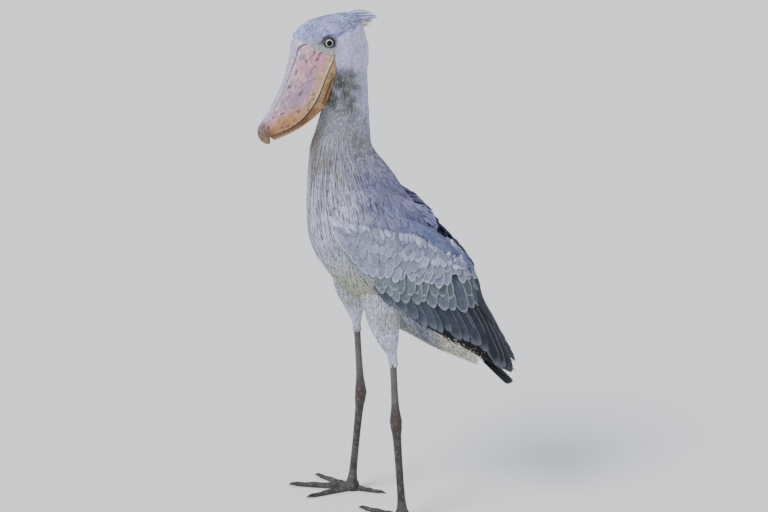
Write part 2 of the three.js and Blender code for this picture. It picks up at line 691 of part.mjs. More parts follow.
function shankStations({ shank, hock }) {
  return [
    between(shank, hock, -0.06, SHANK_RADIUS, SHANK_RADIUS * 0.95),
    between(shank, hock, 0.3, SHANK_RADIUS - 0.6, SHANK_RADIUS * 0.88),
    between(shank, hock, 0.7, SHANK_RADIUS + 0.6, SHANK_RADIUS),
    between(shank, hock, 0.88, HOCK_RADIUS * 0.82, HOCK_RADIUS * 0.8),
    between(shank, hock, 1, HOCK_RADIUS, HOCK_RADIUS * 0.9),
  ];
}

function tarsusStations({ hock, ankle }) {
  return [
    between(hock, ankle, 0, HOCK_RADIUS, HOCK_RADIUS * 0.9),
    between(hock, ankle, 0.07, HOCK_RADIUS * 0.92, HOCK_RADIUS * 0.86),
    between(hock, ankle, 0.2, 10.4, 9.4),
    between(hock, ankle, 0.55, 9.2, 8.4),
    between(hock, ankle, 0.85, 10, 9.6),
    between(hock, ankle, 0.97, 13, 13),
  ];
}

function footPad({ ankle }, grow) {
  const pad = new THREE.SphereGeometry(1, 10, 6).scale(FOOT.side + grow, FOOT.front + grow, FOOT.height + grow);
  const spot = place(ankle.forward, ankle.left, FOOT.height * 0.5);
  return solidOf(pad.translate(spot.x, spot.y, spot.z)).trimByPlane([0, 0, 1], 0);
}

// A toe's line from the foot to the claw's root. It arches a little and lies on its pads.
function toeStations({ ankle }, toe, hand) {
  const heading = degToRad(toe.out * hand);
  const along = (d) => ({
    forward: ankle.forward + d * Math.cos(heading), left: ankle.left + d * Math.sin(heading),
  });
  return steps(0, 1, 6).map((t, i) => {
    const knuckle = i % 2 === 0 ? 1.08 : 0.94;
    const radius = toe.radius * lerp(1, 0.62, t) * knuckle;
    return { ...along(toe.length * t), up: radius * 0.82, front: radius, side: radius * 1.02 };
  });
}

function toeBody(leg, toe, hand, grow) {
  const heading = degToRad(toe.out * hand);
  const across = place(-Math.sin(heading), Math.cos(heading), 0);
  return limb(toeStations(leg, toe, hand), 6, 7, across, grow);
}

function makeToe(leg, toe, hand) {
  const body = toeBody(leg, toe, hand, 0).subtract(footPad(leg, GAP));
  const middleToe = TOES.find(({ name }) => name === "middle");
  return whole(toe === middleToe ? body : body.subtract(toeBody(leg, middleToe, hand, GAP)));
}

function makeClaw(leg, toe, hand) {
  const heading = degToRad(toe.out * hand);
  const across = place(-Math.sin(heading), Math.cos(heading), 0);
  const end = toeStations(leg, toe, hand).at(-1);
  const at = (d, up, radius) => ({
    forward: end.forward + (GAP + d) * Math.cos(heading), left: end.left + (GAP + d) * Math.sin(heading),
    up, front: radius, side: radius * 0.8,
  });
  const [r, l] = [end.front * 0.86, CLAW_LENGTH];
  const stations = [
    at(0, end.up + 0.6, r), at(l * 0.35, end.up + 0.9, r * 0.86), at(l * 0.7, end.up - 0.6, r * 0.52),
    at(l, end.up - 3.1, 0.5),
  ];
  return limb(stations, 4, 6, across);
}

// Assembly

function meshOf(solid, name, look) {
  const geometry = geometryOf(solid);
  geometry.computeVertexNormals();
  const mesh = new THREE.Mesh(geometry, new THREE.MeshStandardMaterial({ ...look, metalness: 0 }));
  mesh.name = name;
  return mesh;
}

const bird = new THREE.Group();
bird.name = "shoebill";
const add = (solid, name, look) => bird.add(meshOf(solid, name, look));

const billGrown = join([upperBill(GAP), lowerBill(GAP)]);
const lower = lowerBill(0);
const hookGrown = hook(GAP);
add(upperBill(0).subtract(nostril(LEFT)).subtract(nostril(RIGHT)), "upper_bill", COLOURS.bill);
add(whole(lower.subtract(hookGrown)), "lower_bill", COLOURS.bill);
add(makeHead(billGrown), "head", COLOURS.plumage);
add(makeNeck(billGrown), "neck", COLOURS.plumage);

const torso = makeTorso();
const body = torsoCore(GAP);
add(torso, "torso", COLOURS.plumage);
add(makeTail(), "tail", COLOURS.flight);

for (const hand of [LEFT, RIGHT]) {
  const leg = LEGS[hand];
  const { name, shank, hock, ankle } = leg;
  add(eyeBall(hand, 0), `${name}_eye`, COLOURS.eye);
  add(makeWing(hand), `${name}_wing`, COLOURS.flight);
  const thigh = thighTop(hand, 0).subtract(body);
  add(whole(cutLeg(thigh, shank, hock, 0, false, 0)), `${name}_thigh`, COLOURS.pale);
  const bare = limb(shankStations(leg), 6, 9, SIDEWAYS);
  const shin = cutLeg(cutLeg(bare, shank, hock, 0, true, GAP), shank, hock, 0.985, false, 0);
  add(whole(shin), `${name}_shank`, COLOURS.leg);
  const tarsus = cutLeg(limb(tarsusStations(leg), 7, 9, SIDEWAYS), shank, hock, 0.985, true, GAP);
  add(whole(tarsus.subtract(footPad(leg, GAP))), `${name}_tarsus`, COLOURS.leg);
  add(footPad(leg, 0), `${name}_foot`, COLOURS.leg);
  for (const toe of TOES) {
    add(makeToe(leg, toe, hand), `${name}_toe_${toe.name}`, COLOURS.leg);
    add(makeClaw(leg, toe, hand), `${name}_claw_${toe.name}`, COLOURS.claw);
  }
}

// The origin is on the floor, under the middle of the whole bird.
const box = new THREE.Box3().setFromObject(bird, true);
const middle = box.getCenter(new THREE.Vector3());
bird.position.set(-middle.x, -middle.y, 0);

export default bird;
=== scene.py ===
"""Looks of a grown shoebill in a slow stride: one skin, a coat of mesh feathers, bill, eyes, legs and claws.

Shapes are worked out in millimetres forward of, left of and above the floor between the bird's feet,
as in the solids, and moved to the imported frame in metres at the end.
"""
import math

import bpy
import numpy as np
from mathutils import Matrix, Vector, noise
from mathutils.bvhtree import BVHTree

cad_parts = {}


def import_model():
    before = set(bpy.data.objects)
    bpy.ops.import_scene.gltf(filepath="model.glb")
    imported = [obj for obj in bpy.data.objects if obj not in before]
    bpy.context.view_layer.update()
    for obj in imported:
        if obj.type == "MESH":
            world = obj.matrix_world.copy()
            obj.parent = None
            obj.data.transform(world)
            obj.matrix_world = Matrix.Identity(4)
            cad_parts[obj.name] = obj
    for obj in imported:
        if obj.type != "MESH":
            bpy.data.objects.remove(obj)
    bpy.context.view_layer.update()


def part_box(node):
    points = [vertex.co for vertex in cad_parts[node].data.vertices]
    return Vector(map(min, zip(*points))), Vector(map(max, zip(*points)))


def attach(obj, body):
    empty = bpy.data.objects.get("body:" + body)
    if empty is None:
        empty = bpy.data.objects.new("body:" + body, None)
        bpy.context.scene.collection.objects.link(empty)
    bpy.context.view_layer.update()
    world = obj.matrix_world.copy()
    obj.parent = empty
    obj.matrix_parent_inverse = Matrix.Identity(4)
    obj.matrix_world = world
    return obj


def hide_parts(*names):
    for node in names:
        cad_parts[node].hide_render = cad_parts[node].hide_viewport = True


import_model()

LEFT, RIGHT = 1, -1
rng = np.random.default_rng(7)

# Trunk stations: forward, up, back, belly, side
TRUNK = np.array([
    [86, 1105, 46, 44, 42], [88, 1050, 52, 50, 46], [90, 1000, 55, 54, 48], [93, 950, 60, 66, 52],
    [93, 900, 66, 82, 63], [84, 848, 86, 100, 80], [66, 790, 104, 124, 98], [40, 722, 118, 142, 112],
    [0, 650, 122, 134, 116], [-52, 588, 120, 112, 108], [-105, 532, 110, 88, 92], [-152, 480, 86, 62, 76],
    [-203, 438, 58, 42, 60], [-255, 396, 34, 22, 52], [-305, 352, 14, 12, 50],
], float)
# Head: origin and turn, then skull stations ahead, top, bottom, side
HEAD = dict(forward=110, up=1135, pitch=48, yaw=12, pivot=85)
SKULL = np.array([
    [-90, 16, 4, 7], [-82, 31, -6, 22], [-66, 48, -32, 38], [-45, 65, -60, 48], [-15, 86, -84, 54],
    [10, 96, -94, 55], [32, 98, -100, 52], [50, 91, -104, 46], [66, 30, -104, 43], [82, -38, -100, 39],
    [106, -50, -90, 33], [126, -58, -72, 18],
], float)
# Bill stations: ahead, culmen, mouth, chin, side, ridge
BILL = np.array([
    [15.5, 67, -1, -28, 54, 13], [36, 83, -8, -37, 57, 14], [58, 89, -15, -46, 57, 14],
    [80, 74, -23, -54, 56, 13], [112, 57, -35, -65, 54, 13], [145, 42, -42, -66, 51, 12],
    [180, 32, -43, -60, 45, 12], [212, 24, -36, -51, 35, 11], [238, 20, -25, -40, 24, 10],
    [256, 17, -16, -31, 14, 9],
], float)
# Hook stations: ahead, above, wide, deep
HOOK = np.array([
    [240, 5, 11, 15], [254, 4, 10.5, 14], [264, -1, 9, 11],
    [270, -11, 6.5, 8], [271, -20, 4, 5], [269, -28, 1.6, 2],
], float)
EYE = dict(ahead=2, above=28, left=45.5, radius=12.5)
# Legs: thigh stations forward, left, up, front, side, then the joints forward, left, up
LEGS = {
    "left": dict(
        hand=LEFT,
        thigh=np.array([
            [22, 54, 600, 46, 34], [6, 68, 548, 43, 35], [-5, 79, 498, 38, 33],
            [-14, 85, 458, 26, 24], [-22, 85, 426, 14, 13], [-26, 85, 404, 9.6, 9.2],
        ], float),
        shank=(-26, 85, 404), hock=(-33, 86, 253), ankle=(-49, 90, 22)),
    "right": dict(
        hand=RIGHT,
        thigh=np.array([
            [88, -54, 610, 46, 34], [86, -70, 555, 42, 35], [80, -81, 512, 32, 30],
            [76, -85, 478, 20, 19], [73, -85, 452, 11.5, 11], [72, -85, 436, 9.4, 9],
        ], float),
        shank=(72, -85, 436), hock=(63, -86, 266), ankle=(87, -90, 22)),
}
SHANK_RADIUS, HOCK_RADIUS = 8.8, 15
# Toes: name, angle out from forward, length, radius at the root
TOES = [("inner", -30, 108, 8.5), ("middle", 6, 146, 9.5), ("outer", 40, 116, 8.5), ("hind", 196, 72, 7.5)]
CLAW = 21  # length
FOOT = dict(left=90, width=34, length=38, height=22, middle=11)
# Lines of the folded wing in the side view, as forward and up
FOREARM = [(92, 748), (24, 743), (-58, 714), (-128, 668), (-188, 610)]
SHOULDER = [(62, 786), (4, 792), (-58, 768), (-112, 724)]
HAND = [(88, 742), (62, 690), (24, 630), (-20, 575), (-62, 535)]
WING_TOP = [(106, 758), (74, 778), (20, 764), (-54, 728), (-116, 682), (-170, 622)]
WING_EDGE = [
    *WING_TOP, (-230, 560), (-290, 400), (-224, 463), (-156, 489), (-105, 511), (-44, 558), (13, 596),
    (71, 687),
]
LESSER_TIPS = [(88, 724), (44, 694), (-4, 680), (-52, 664), (-98, 644), (-144, 630), (-192, 606)]
MEDIAN_TIPS = [(78, 682), (44, 640), (0, 622), (-48, 610), (-98, 598), (-150, 588), (-212, 586)]
GREATER_TIPS = [(50, 632), (6, 590), (-36, 566), (-84, 552), (-134, 538), (-184, 522), (-226, 520)]
SECONDARY_TIPS = [(-22, 550), (-76, 512), (-132, 485), (-186, 460), (-230, 436), (-258, 410), (-292, 370)]
TERTIAL_TIPS = [(-302, 362), (-308, 386), (-300, 430), (-288, 474), (-268, 516)]
PRIMARY_TIPS = [(-206, 482), (-262, 438), (-320, 356)]
SCAPULAR_ROOTS = [(-40, 752), (-66, 738), (-92, 722), (-120, 696), (-146, 664), (-172, 622)]
SCAPULAR_TIPS = [(-126, 672), (-164, 628), (-192, 588), (-216, 545), (-236, 505), (-254, 462)]
# Where the cap's edge runs on the head, as ahead and above
CAP_EDGE = np.array([(-92, 8), (-61, 13), (-20, 17), (-11, 33), (5, 48), (34, 70), (50, 84)], float)
NECK_TOP = 1012.0  # where the head's coat gives way to the neck's
COAT = 4.0  # depth of the body's coat, between the skin and the solids' surface

# The frame's origin lies under the middle of the box: the left foot's pad tells how far it moved.
foot_low, foot_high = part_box("left_foot")
SHIFT = np.array([
    1000 * (foot_low[0] + foot_high[0]) / 2 - FOOT["left"],
    1000 * (foot_low[1] + foot_high[1]) / 2 - 49,
    0.0,
])


def place(forward, left, up):
    return np.stack(np.broadcast_arrays(left, -np.asarray(forward, float), up), -1).astype(float)


def world(points):
    return (np.asarray(points) + SHIFT) / 1000


def unit(v):
    return v / np.maximum(np.linalg.norm(v, axis=-1, keepdims=True), 1e-9)


def srgb(text):
    values = np.array([int(text[i:i + 2], 16) for i in (0, 2, 4)]) / 255
    return np.where(values <= 0.04045, values / 12.92, ((values + 0.055) / 1.055) ** 2.4)


def smooth(x, low, high):
    t = np.clip((np.asarray(x, float) - low) / (high - low), 0, 1)
    return t * t * (3 - 2 * t)


def spline(table, x):
    """Catmull-Rom through the rows of a table, at x counted in rows."""
    table = np.asarray(table, float)
    last = len(table) - 1
    x = np.asarray(x, float)
    row = np.clip(np.floor(x).astype(int), 0, last - 1)
    t = (x - row)[..., None]
    a, b, c, d = (table[np.clip(row + i, 0, last)] for i in (-1, 0, 1, 2))
    return 0.5 * (2 * b + (c - a) * t + (2 * a - 5 * b + 4 * c - d) * t ** 2
                  + (3 * b - a - 3 * c + d) * t ** 3)


def curve_at(pairs, t):
    return spline(pairs, np.asarray(t, float) * (len(pairs) - 1))


# Trunk surface: k counts stations, angle in degrees from the middle of the back to the belly

def trunk_frame(k):
    here = spline(TRUNK[:, :2], k)
    run = (spline(TRUNK[:, :2], k + 0.05) - spline(TRUNK[:, :2], k - 0.05)) / 0.1
    stride = np.linalg.norm(run, axis=-1)
    run = run / stride[..., None]
    dorsal = np.stack([run[..., 1], -run[..., 0]], -1)
    return here, run, dorsal, stride


def trunk_point(k, angle, rise, hand):
    k, angle, rise, hand = np.broadcast_arrays(*(np.asarray(v, float) for v in (k, angle, rise, hand)))
    here, _, dorsal, _ = trunk_frame(k)
    back, belly, side = np.moveaxis(spline(TRUNK[:, 2:], k), -1, 0)
    cos, sin = np.cos(np.radians(angle)), np.sin(np.radians(angle))
    deep = np.where(cos > 0, back, belly)
    out = unit(np.stack([cos / deep, sin / side], -1))
    along = deep * cos + rise * out[..., 0]
    return place(here[..., 0] + dorsal[..., 0] * along, hand * (side * sin + rise * out[..., 1]),
                 here[..., 1] + dorsal[..., 1] * along)


def trunk_spot(forward, up):
    target = np.stack([forward, up], -1)
    low = np.full(target.shape[:-1], 0.5)
    high = np.full(target.shape[:-1], len(TRUNK) - 1.0)
    for _ in range(22):
        middle = (low + high) / 2
        here, run, _, _ = trunk_frame(middle)
        ahead = ((target - here) * run).sum(-1) > 0
        low, high = np.where(ahead, middle, low), np.where(ahead, high, middle)
    k = (low + high) / 2
    here, _, dorsal, _ = trunk_frame(k)
    depth = ((target - here) * dorsal).sum(-1)
    back, belly, _ = np.moveaxis(spline(TRUNK[:, 2:], k), -1, 0)
    reach = np.where(depth > 0, back, belly) + 8
    return k, np.degrees(np.arccos(np.clip(depth / reach, -0.98, 0.98)))


# Head surface

def head_point(ahead, above, left):
    ahead, above, left = np.broadcast_arrays(*(np.asarray(v, float) for v in (ahead, above, left)))
    pitch, yaw = math.radians(HEAD["pitch"]), math.radians(HEAD["yaw"])
    forward = HEAD["forward"] + ahead * math.cos(pitch) + above * math.sin(pitch) - HEAD["pivot"]
    up = HEAD["up"] - ahead * math.sin(pitch) + above * math.cos(pitch)
    return place(HEAD["pivot"] + forward * math.cos(yaw) - left * math.sin(yaw),
                 forward * math.sin(yaw) + left * math.cos(yaw), up)


def skull_point(x, turn, rise):
    x, turn, rise = np.broadcast_arrays(*(np.asarray(v, float) for v in (x, turn, rise)))
    ahead, top, bottom, side = np.moveaxis(spline(SKULL, x), -1, 0)
    cos, sin = np.cos(np.radians(turn)), np.sin(np.radians(turn))
    return head_point(ahead, (top + bottom) / 2 + ((top - bottom) / 2 + rise) * cos, (side + rise) * sin)


# Meshes

def mesh_object(name, points, faces, smooth_shade=True):
    mesh = bpy.data.meshes.new(name)
    points = world(points).astype(np.float32)
    faces = [np.asarray(f) for f in faces if len(f)]
    counts = np.concatenate([np.full(len(f), f.shape[1]) for f in faces])
    loops = np.concatenate([f.ravel() for f in faces])
    mesh.vertices.add(len(points))
    mesh.vertices.foreach_set("co", points.ravel())
    mesh.loops.add(len(loops))
    mesh.loops.foreach_set("vertex_index", loops.astype(np.int32))
    mesh.polygons.add(len(counts))
    mesh.polygons.foreach_set("loop_start", (np.cumsum(counts) - counts).astype(np.int32))
    mesh.polygons.foreach_set("use_smooth", np.full(len(counts), smooth_shade))
    mesh.update(calc_edges=True)
    obj = bpy.data.objects.new(name, mesh)
    bpy.context.scene.collection.objects.link(obj)
    return obj


def set_colours(obj, colours, name="Tint"):
    layer = obj.data.color_attributes.new(name, "FLOAT_COLOR", "POINT")
    full = np.concatenate([np.clip(colours, 0, 1), np.ones((len(colours), 1))], 1).astype(np.float32)
    layer.data.foreach_set("color", full.ravel())


def set_uv(obj, name, uv):
    layer = obj.data.uv_layers.new(name=name)
    index = np.empty(len(obj.data.loops), np.int32)
    obj.data.loops.foreach_get("vertex_index", index)
    layer.uv.foreach_set("vector", uv[index].astype(np.float32).ravel())


def tube(rings):
    """A closed skin through rings of equal size: points and faces, with both ends capped by fans."""
    rings = np.asarray(rings, float)
    count, sides = rings.shape[:2]
    points = np.concatenate([rings.reshape(-1, 3), rings[:1].mean(1), rings[-1:].mean(1)])
    i, j = np.meshgrid(np.arange(count - 1), np.arange(sides), indexing="ij")
    a, b = i * sides + j, i * sides + (j + 1) % sides
    quads = np.stack([a, a + sides, b + sides, b], -1).reshape(-1, 4)
    j = np.arange(sides)
    start = np.stack([j, (j + 1) % sides, np.full(sides, count * sides)], -1)
    end = np.stack([(count - 1) * sides + (j + 1) % sides, (count - 1) * sides + j,
                    np.full(sides, count * sides + 1)], -1)
    corner = [points[quads[:, i]] for i in range(4)]
    volume = np.einsum("ij,ij->i", corner[0], np.cross(corner[1], corner[2])).sum()
    volume += np.einsum("ij,ij->i", corner[0], np.cross(corner[2], corner[3])).sum()
    faces = [quads, np.concatenate([start, end])]
    if volume < 0:
        faces = [f[:, ::-1] for f in faces]
    return points, faces


def limb(stations, rings, sides, across, shrink=0.0):
    """A tube through stations of forward, left, up, front and side radii, flat where it meets the floor."""
    x = np.linspace(0, len(stations) - 1, rings)
    row = spline(stations, x)
    ahead, behind = spline(stations, x + 0.1), spline(stations, x - 0.1)
    run = unit(place(*np.moveaxis(ahead[:, :3] - behind[:, :3], -1, 0)))
    across = np.asarray(across, float)
    wide = unit(across - (run @ across)[:, None] * run)
    deep = np.cross(wide, run)
    turn = np.radians(np.linspace(0, 360, sides, endpoint=False))
    middle = place(row[:, 0], row[:, 1], row[:, 2])
    points = (middle[:, None] + deep[:, None] * ((row[:, 3] - shrink)[:, None] * np.cos(turn))[..., None]
              + wide[:, None] * ((row[:, 4] - shrink)[:, None] * np.sin(turn))[..., None])
    points[..., 2] = np.maximum(points[..., 2], 0.02)
    return points


def fused(name, shapes, voxel, smoothing):
    """Several closed tubes made into one skin."""
    points, faces, start = [], [[], []], 0
    for p, (quads, tris) in shapes:
        points.append(p)
        faces[0].append(quads + start)
        faces[1].append(tris + start)
        start += len(p)
    obj = mesh_object(name + "_raw", np.concatenate(points), [np.concatenate(f) for f in faces])
    remesh = obj.modifiers.new("remesh", "REMESH")
    remesh.mode = "VOXEL"
    remesh.voxel_size = voxel / 1000
    soften = obj.modifiers.new("smooth", "SMOOTH")
    soften.factor = 0.5
    soften.iterations = smoothing
    evaluated = obj.evaluated_get(bpy.context.evaluated_depsgraph_get())
    mesh = bpy.data.meshes.new_from_object(evaluated)
    mesh.name = name
    result = bpy.data.objects.new(name, mesh)
    bpy.context.scene.collection.objects.link(result)
    bpy.data.objects.remove(obj)
    mesh.polygons.foreach_set("use_smooth", np.ones(len(mesh.polygons), bool))
    return result


def points_of(obj):
    flat = np.empty(len(obj.data.vertices) * 3, np.float32)
    obj.data.vertices.foreach_get("co", flat)
    return flat.reshape(-1, 3).astype(float) * 1000 - SHIFT


def put_points(obj, points):
    obj.data.vertices.foreach_set("co", world(points).astype(np.float32).ravel())
    obj.data.update()


def normals_of(obj):
    flat = np.empty(len(obj.data.vertices) * 3, np.float32)
    obj.data.vertex_normals.foreach_get("vector", flat)
    return flat.reshape(-1, 3).astype(float)


# Feathers

PROFILES = {  # half width along the feather, from root to tip
    "contour": ([0, 0.15, 0.4, 0.62, 0.78, 0.9, 0.96, 1], [0.4, 0.75, 0.97, 1.0, 0.9, 0.64, 0.38, 0.0]),
    "plume": ([0, 0.1, 0.3, 0.5, 0.75, 0.9, 1], [0.45, 0.75, 1.0, 0.92, 0.6, 0.3, 0.0]),
    "flight": ([0, 0.12, 0.4, 0.75, 0.9, 0.97, 1], [0.4, 0.8, 0.98, 1.0, 0.84, 0.5, 0.0]),
    "primary": ([0, 0.1, 0.35, 0.6, 0.85, 0.95, 1], [0.5, 0.9, 1.0, 0.85, 0.55, 0.3, 0.0]),
}
PATCH = 0.0015  # half the side of a feather's own patch of the OFBake map


class Coat:
    """Feathers gathered for joined pieces: points, faces, tints and both maps."""

    def __init__(self):
        self.rows = []

    def add(self, centre, side, lift, half, tint, fringe, root_uv, shape="contour", columns=3, thick=0.25,
            camber=0.18, stops=None, ragged=0.0, shade=0.3):
        """centre, side, lift: N x (m+1) x 3. half: N. tint, fringe: N x 3. The last stop is the tip."""
        count, many = centre.shape[:2]
        t = np.linspace(0, 1, many) if stops is None else stops
        wide = half[:, None] * np.interp(t, *PROFILES[shape])
        across = np.linspace(-1, 1, columns)
        ring_across = np.concatenate([across, across[1:-1][::-1]])
        face = np.concatenate([np.ones(columns), -np.ones(columns - 2)]) * (np.abs(ring_across) < 0.99)
        height = thick * np.where(np.abs(ring_across) < 0.2, 1.6, 0.8) * face
        wave = 1 + ragged * rng.normal(size=(count, many - 1, 1)) * (np.abs(ring_across) > 0.99)
        rings = (centre[:, :-1, None]
                 + side[:, :-1, None] * (wide[:, :-1, None] * ring_across * wave)[..., None]
                 + lift[:, :-1, None] * (height - camber * wide[:, :-1, None] * ring_across ** 2)[..., None])
        sides = len(ring_across)
        points = np.concatenate([rings.reshape(count, -1, 3), centre[:, -1:]], 1)
        i, j = np.meshgrid(np.arange(many - 2), np.arange(sides), indexing="ij")
        a, b = i * sides + j, i * sides + (j + 1) % sides
        quads = np.stack([a, a + sides, b + sides, b], -1).reshape(-1, 4)
        j = np.arange(sides)
        base = (many - 2) * sides
        tips = np.stack([base + (j + 1) % sides, base + j, np.full(sides, (many - 1) * sides)], -1)
        root = np.stack([np.zeros(sides - 2, int), j[1:-1], j[2:]], -1)
        tris = np.concatenate([tips, root])
        along = np.concatenate([np.repeat(t[:-1], sides), [1.0]])
        ring_all = np.concatenate([np.tile(ring_across, many - 1), [0]])
        # Painted shade: each feather is darkened towards its root by the share shade, standing in for the
        # shadow of the feathers lying over it.
        dim = (1 - shade + shade * smooth(along, 0.0, 0.4))[None, :, None]
        tints, fringes = tint[:, None] * dim, fringe[:, None] * np.ones_like(dim)
        uv = root_uv[:, None] + PATCH * np.stack([ring_all, 2 * along - 1], -1)[None]
        vane = np.broadcast_to(np.stack([ring_all, along], -1), (count, len(along), 2))
        self.rows.append((points, quads, tris, tints, fringes, uv, vane))

    def pieces(self, name, limit=190000):
        """Joined objects, each under the limit of triangles."""
        made, batch, total = [], [], 0
        for points, quads, tris, *maps in self.rows:
            each = 2 * len(quads) + len(tris)
            start = 0
            while start < len(points):
                stop = min(len(points), start + max(1, (limit - total) // each))
                batch.append((points[start:stop], quads, tris, *(m[start:stop] for m in maps)))
                total += (stop - start) * each
                start = stop
                if total + each > limit:
                    made.append(batch)
                    batch, total = [], 0
        if batch:
            made.append(batch)
        objects = []
        for number, rows in enumerate(made):
            start, all_quads, all_tris = 0, [], []
            for p, quads, tris, *_ in rows:
                offsets = start + np.arange(len(p))[:, None, None] * p.shape[1]
                all_quads.append((quads[None] + offsets).reshape(-1, 4))
                all_tris.append((tris[None] + offsets).reshape(-1, 3))
                start += p.shape[0] * p.shape[1]
            label = name if len(made) == 1 else f"{name}_{number + 1}"
            shared = (0, 3, 4, 5, 6)
            points, tints, fringes, uv, vane = (
                np.concatenate([row[i].reshape(-1, row[i].shape[-1]) for row in rows]) for i in shared)
            obj = mesh_object(label, points, [np.concatenate(all_quads), np.concatenate(all_tris)])
            set_colours(obj, tints)
            set_colours(obj, fringes, "Fringe")
            set_uv(obj, "OFBake", uv)
            set_uv(obj, "Vane", vane)
            objects.append(obj)
        return objects


def stops_for(count):
    return 1 - (1 - np.linspace(0, 1, count + 1)) ** 1.3


def directions(centre, above):
    """Side and lift of feathers from their middle lines and the points over them."""
    run = unit(np.gradient(centre, axis=1))
    lift = above - centre
    lift = unit(lift - (lift * run).sum(-1, keepdims=True) * run)
    return np.cross(lift, run), lift


def tilted(side, lift, degrees):
    angle = np.radians(np.broadcast_to(degrees, side.shape[:1]))[:, None, None]
    return side * np.cos(angle) + lift * np.sin(angle), lift * np.cos(angle) - side * np.sin(angle)


# Colours

TONE = {name: srgb(value) for name, value in {
    "face": "c4c6e6", "cap": "b4bbfa", "cap_dark": "747ba6", "cheek": "dcddff", "lores": "b4bab2",
    "jaw": "6e7370", "jaw_dark": "3c4046", "nape": "f2efee", "cream": "e2dbc2", "socket": "2b2926",
    "neck": "9c9da8", "stain": "7b705c", "breast": "c3c6d8", "streak": "6f7387", "belly": "a3a892",
    "mantle": "7f80a6", "slate": "66719c", "dark": "4c5364", "black": "0c0f14", "night": "20252f",
    "band": "c6c6e6", "covert": "878ea6", "teal": "78868a", "teal_dark": "515c66", "fringe": "e9ecf6",
    "thigh": "d6d9ee", "vent": "d9d5c2", "leg": "221e1d", "leg_pale": "6f6a68", "hock": "40271f",
    "claw": "1d1a19", "pupil": "050505", "iris": "a6a99b", "fibre": "6f7366", "iris_edge": "4a4c42",
    "rim": "0d0b0a", "lid": "7d7f80", "lid_dark": "0e0c0b",
}.items()}
BILL_TONE = {name: srgb(value) for name, value in {
    "pink": "c4919a", "mauve": "9a809c", "ochre": "c19a5f", "orange": "a9713f", "culmen": "a9a0bd",
    "blue": "8088a0", "spot": "3d343a", "white": "e9e0e2", "cream": "d8c398", "hook": "6b5544",
    "line": "1d1210", "streak": "4a2216", "tan": "b98a58", "brown": "5b3d2a",
}.items()}


def speckle(points, scale, seed):
    """Smooth noise from 0 to 1 at each point, scale in millimetres."""
    offset = Vector((seed * 17.3, seed * 5.1, seed * 9.7))
    return np.array([noise.noise(Vector(p) / scale + offset) for p in points]) * 0.5 + 0.5


def mix(a, b, share):
    return a + (b - a) * np.asarray(share)[..., None]


def layered(tones, base, layers):
    """A base colour with layers of name and share over it."""
    for name, share in layers:
        base = mix(base, tones[name], share)
    return base


def top_of_wing(forward):
    edge = np.array(WING_TOP[::-1], float)
    low = np.interp(forward, edge[:, 0], edge[:, 1])
    return np.where(forward < edge[0, 0], edge[0, 1] + (forward - edge[0, 0]) * 1.62, low)


def body_tint(points):
    """The coat's colour at points of the body, neck and thighs, in the bird's own millimetres."""
    forward, up = -points[:, 1], points[:, 2]
    coarse, fine = speckle(points, 44, 1), speckle(points, 12, 2)
    soiled = smooth(up, 800, 880) * smooth(up, 1000, 960) * smooth(fine, 0.25, 0.6)
    behind = smooth(forward - (up - 800) * 0.25, 95, 15)
    over_wing = up - top_of_wing(forward)
    low_front = smooth(forward + (600 - up) * 0.6, -40, 60)
    tint = layered(TONE, TONE["neck"], [
        ("breast", smooth(up, 930, 830)),
        ("stain", 0.85 * smooth(coarse, 0.44, 0.62) * soiled),
        ("cheek", 0.6 * smooth(forward, 70, 30) * smooth(up, 930, 1000)),
        ("streak", 0.75 * smooth(fine, 0.48, 0.72) * smooth(up, 620, 700) * smooth(up, 980, 900)),
        ("mantle", behind * smooth(up, 560, 640) * smooth(up, 930, 850)),
        # The back darkens towards the wing's top edge: partly the scapulars' own dark slate, partly painted
        # shade under their lower edge, with the paler lilac above standing in for a painted sheen.
        ("slate", 0.9 * behind * smooth(forward, 20, -60) * smooth(over_wing, 52, 6)),
        ("dark", 0.6 * behind * smooth(forward, -60, -210) * smooth(over_wing, 60, 0)),
        ("streak", 0.7 * behind * smooth(fine, 0.45, 0.7) * smooth(forward, -40, 20)),
        # Greenish grey belly on the lower front: its own hue, deepened as painted shade on the underside.
        ("belly", smooth(up, 700, 600) * low_front),
        ("vent", smooth(forward, -60, -130) * smooth(up, 560, 500)),
    ])
    return tint * (0.86 + 0.28 * fine)[:, None]


def to_head(points):
    """The head's own ahead, above and left of points in the bird's millimetres."""
    pitch, yaw = math.radians(HEAD["pitch"]), math.radians(HEAD["yaw"])
    forward, left, up = -points[:, 1] - HEAD["pivot"], points[:, 0], points[:, 2] - HEAD["up"]
    level = forward * math.cos(yaw) + left * math.sin(yaw) + HEAD["pivot"] - HEAD["forward"]
    across = -forward * math.sin(yaw) + left * math.cos(yaw)
    ahead = level * math.cos(pitch) - up * math.sin(pitch)
    above = level * math.sin(pitch) + up * math.cos(pitch)
    return ahead, above, across


def from_eye(ahead, above):
    """How far behind and over the eye's middle a place of the head lies, with the head as it is held."""
    pitch = math.radians(HEAD["pitch"])
    a, b = ahead - EYE["ahead"], above - EYE["above"]
    return -(a * math.cos(pitch) + b * math.sin(pitch)), -a * math.sin(pitch) + b * math.cos(pitch)


def beside_eye(behind, over, left):
    """The place of the head that lies behind and over the eye's middle by these amounts."""
    pitch = math.radians(HEAD["pitch"])
    ahead = EYE["ahead"] - behind * math.cos(pitch) - over * math.sin(pitch)
    above = EYE["above"] - behind * math.sin(pitch) + over * math.cos(pitch)
    return head_point(ahead, above, left)


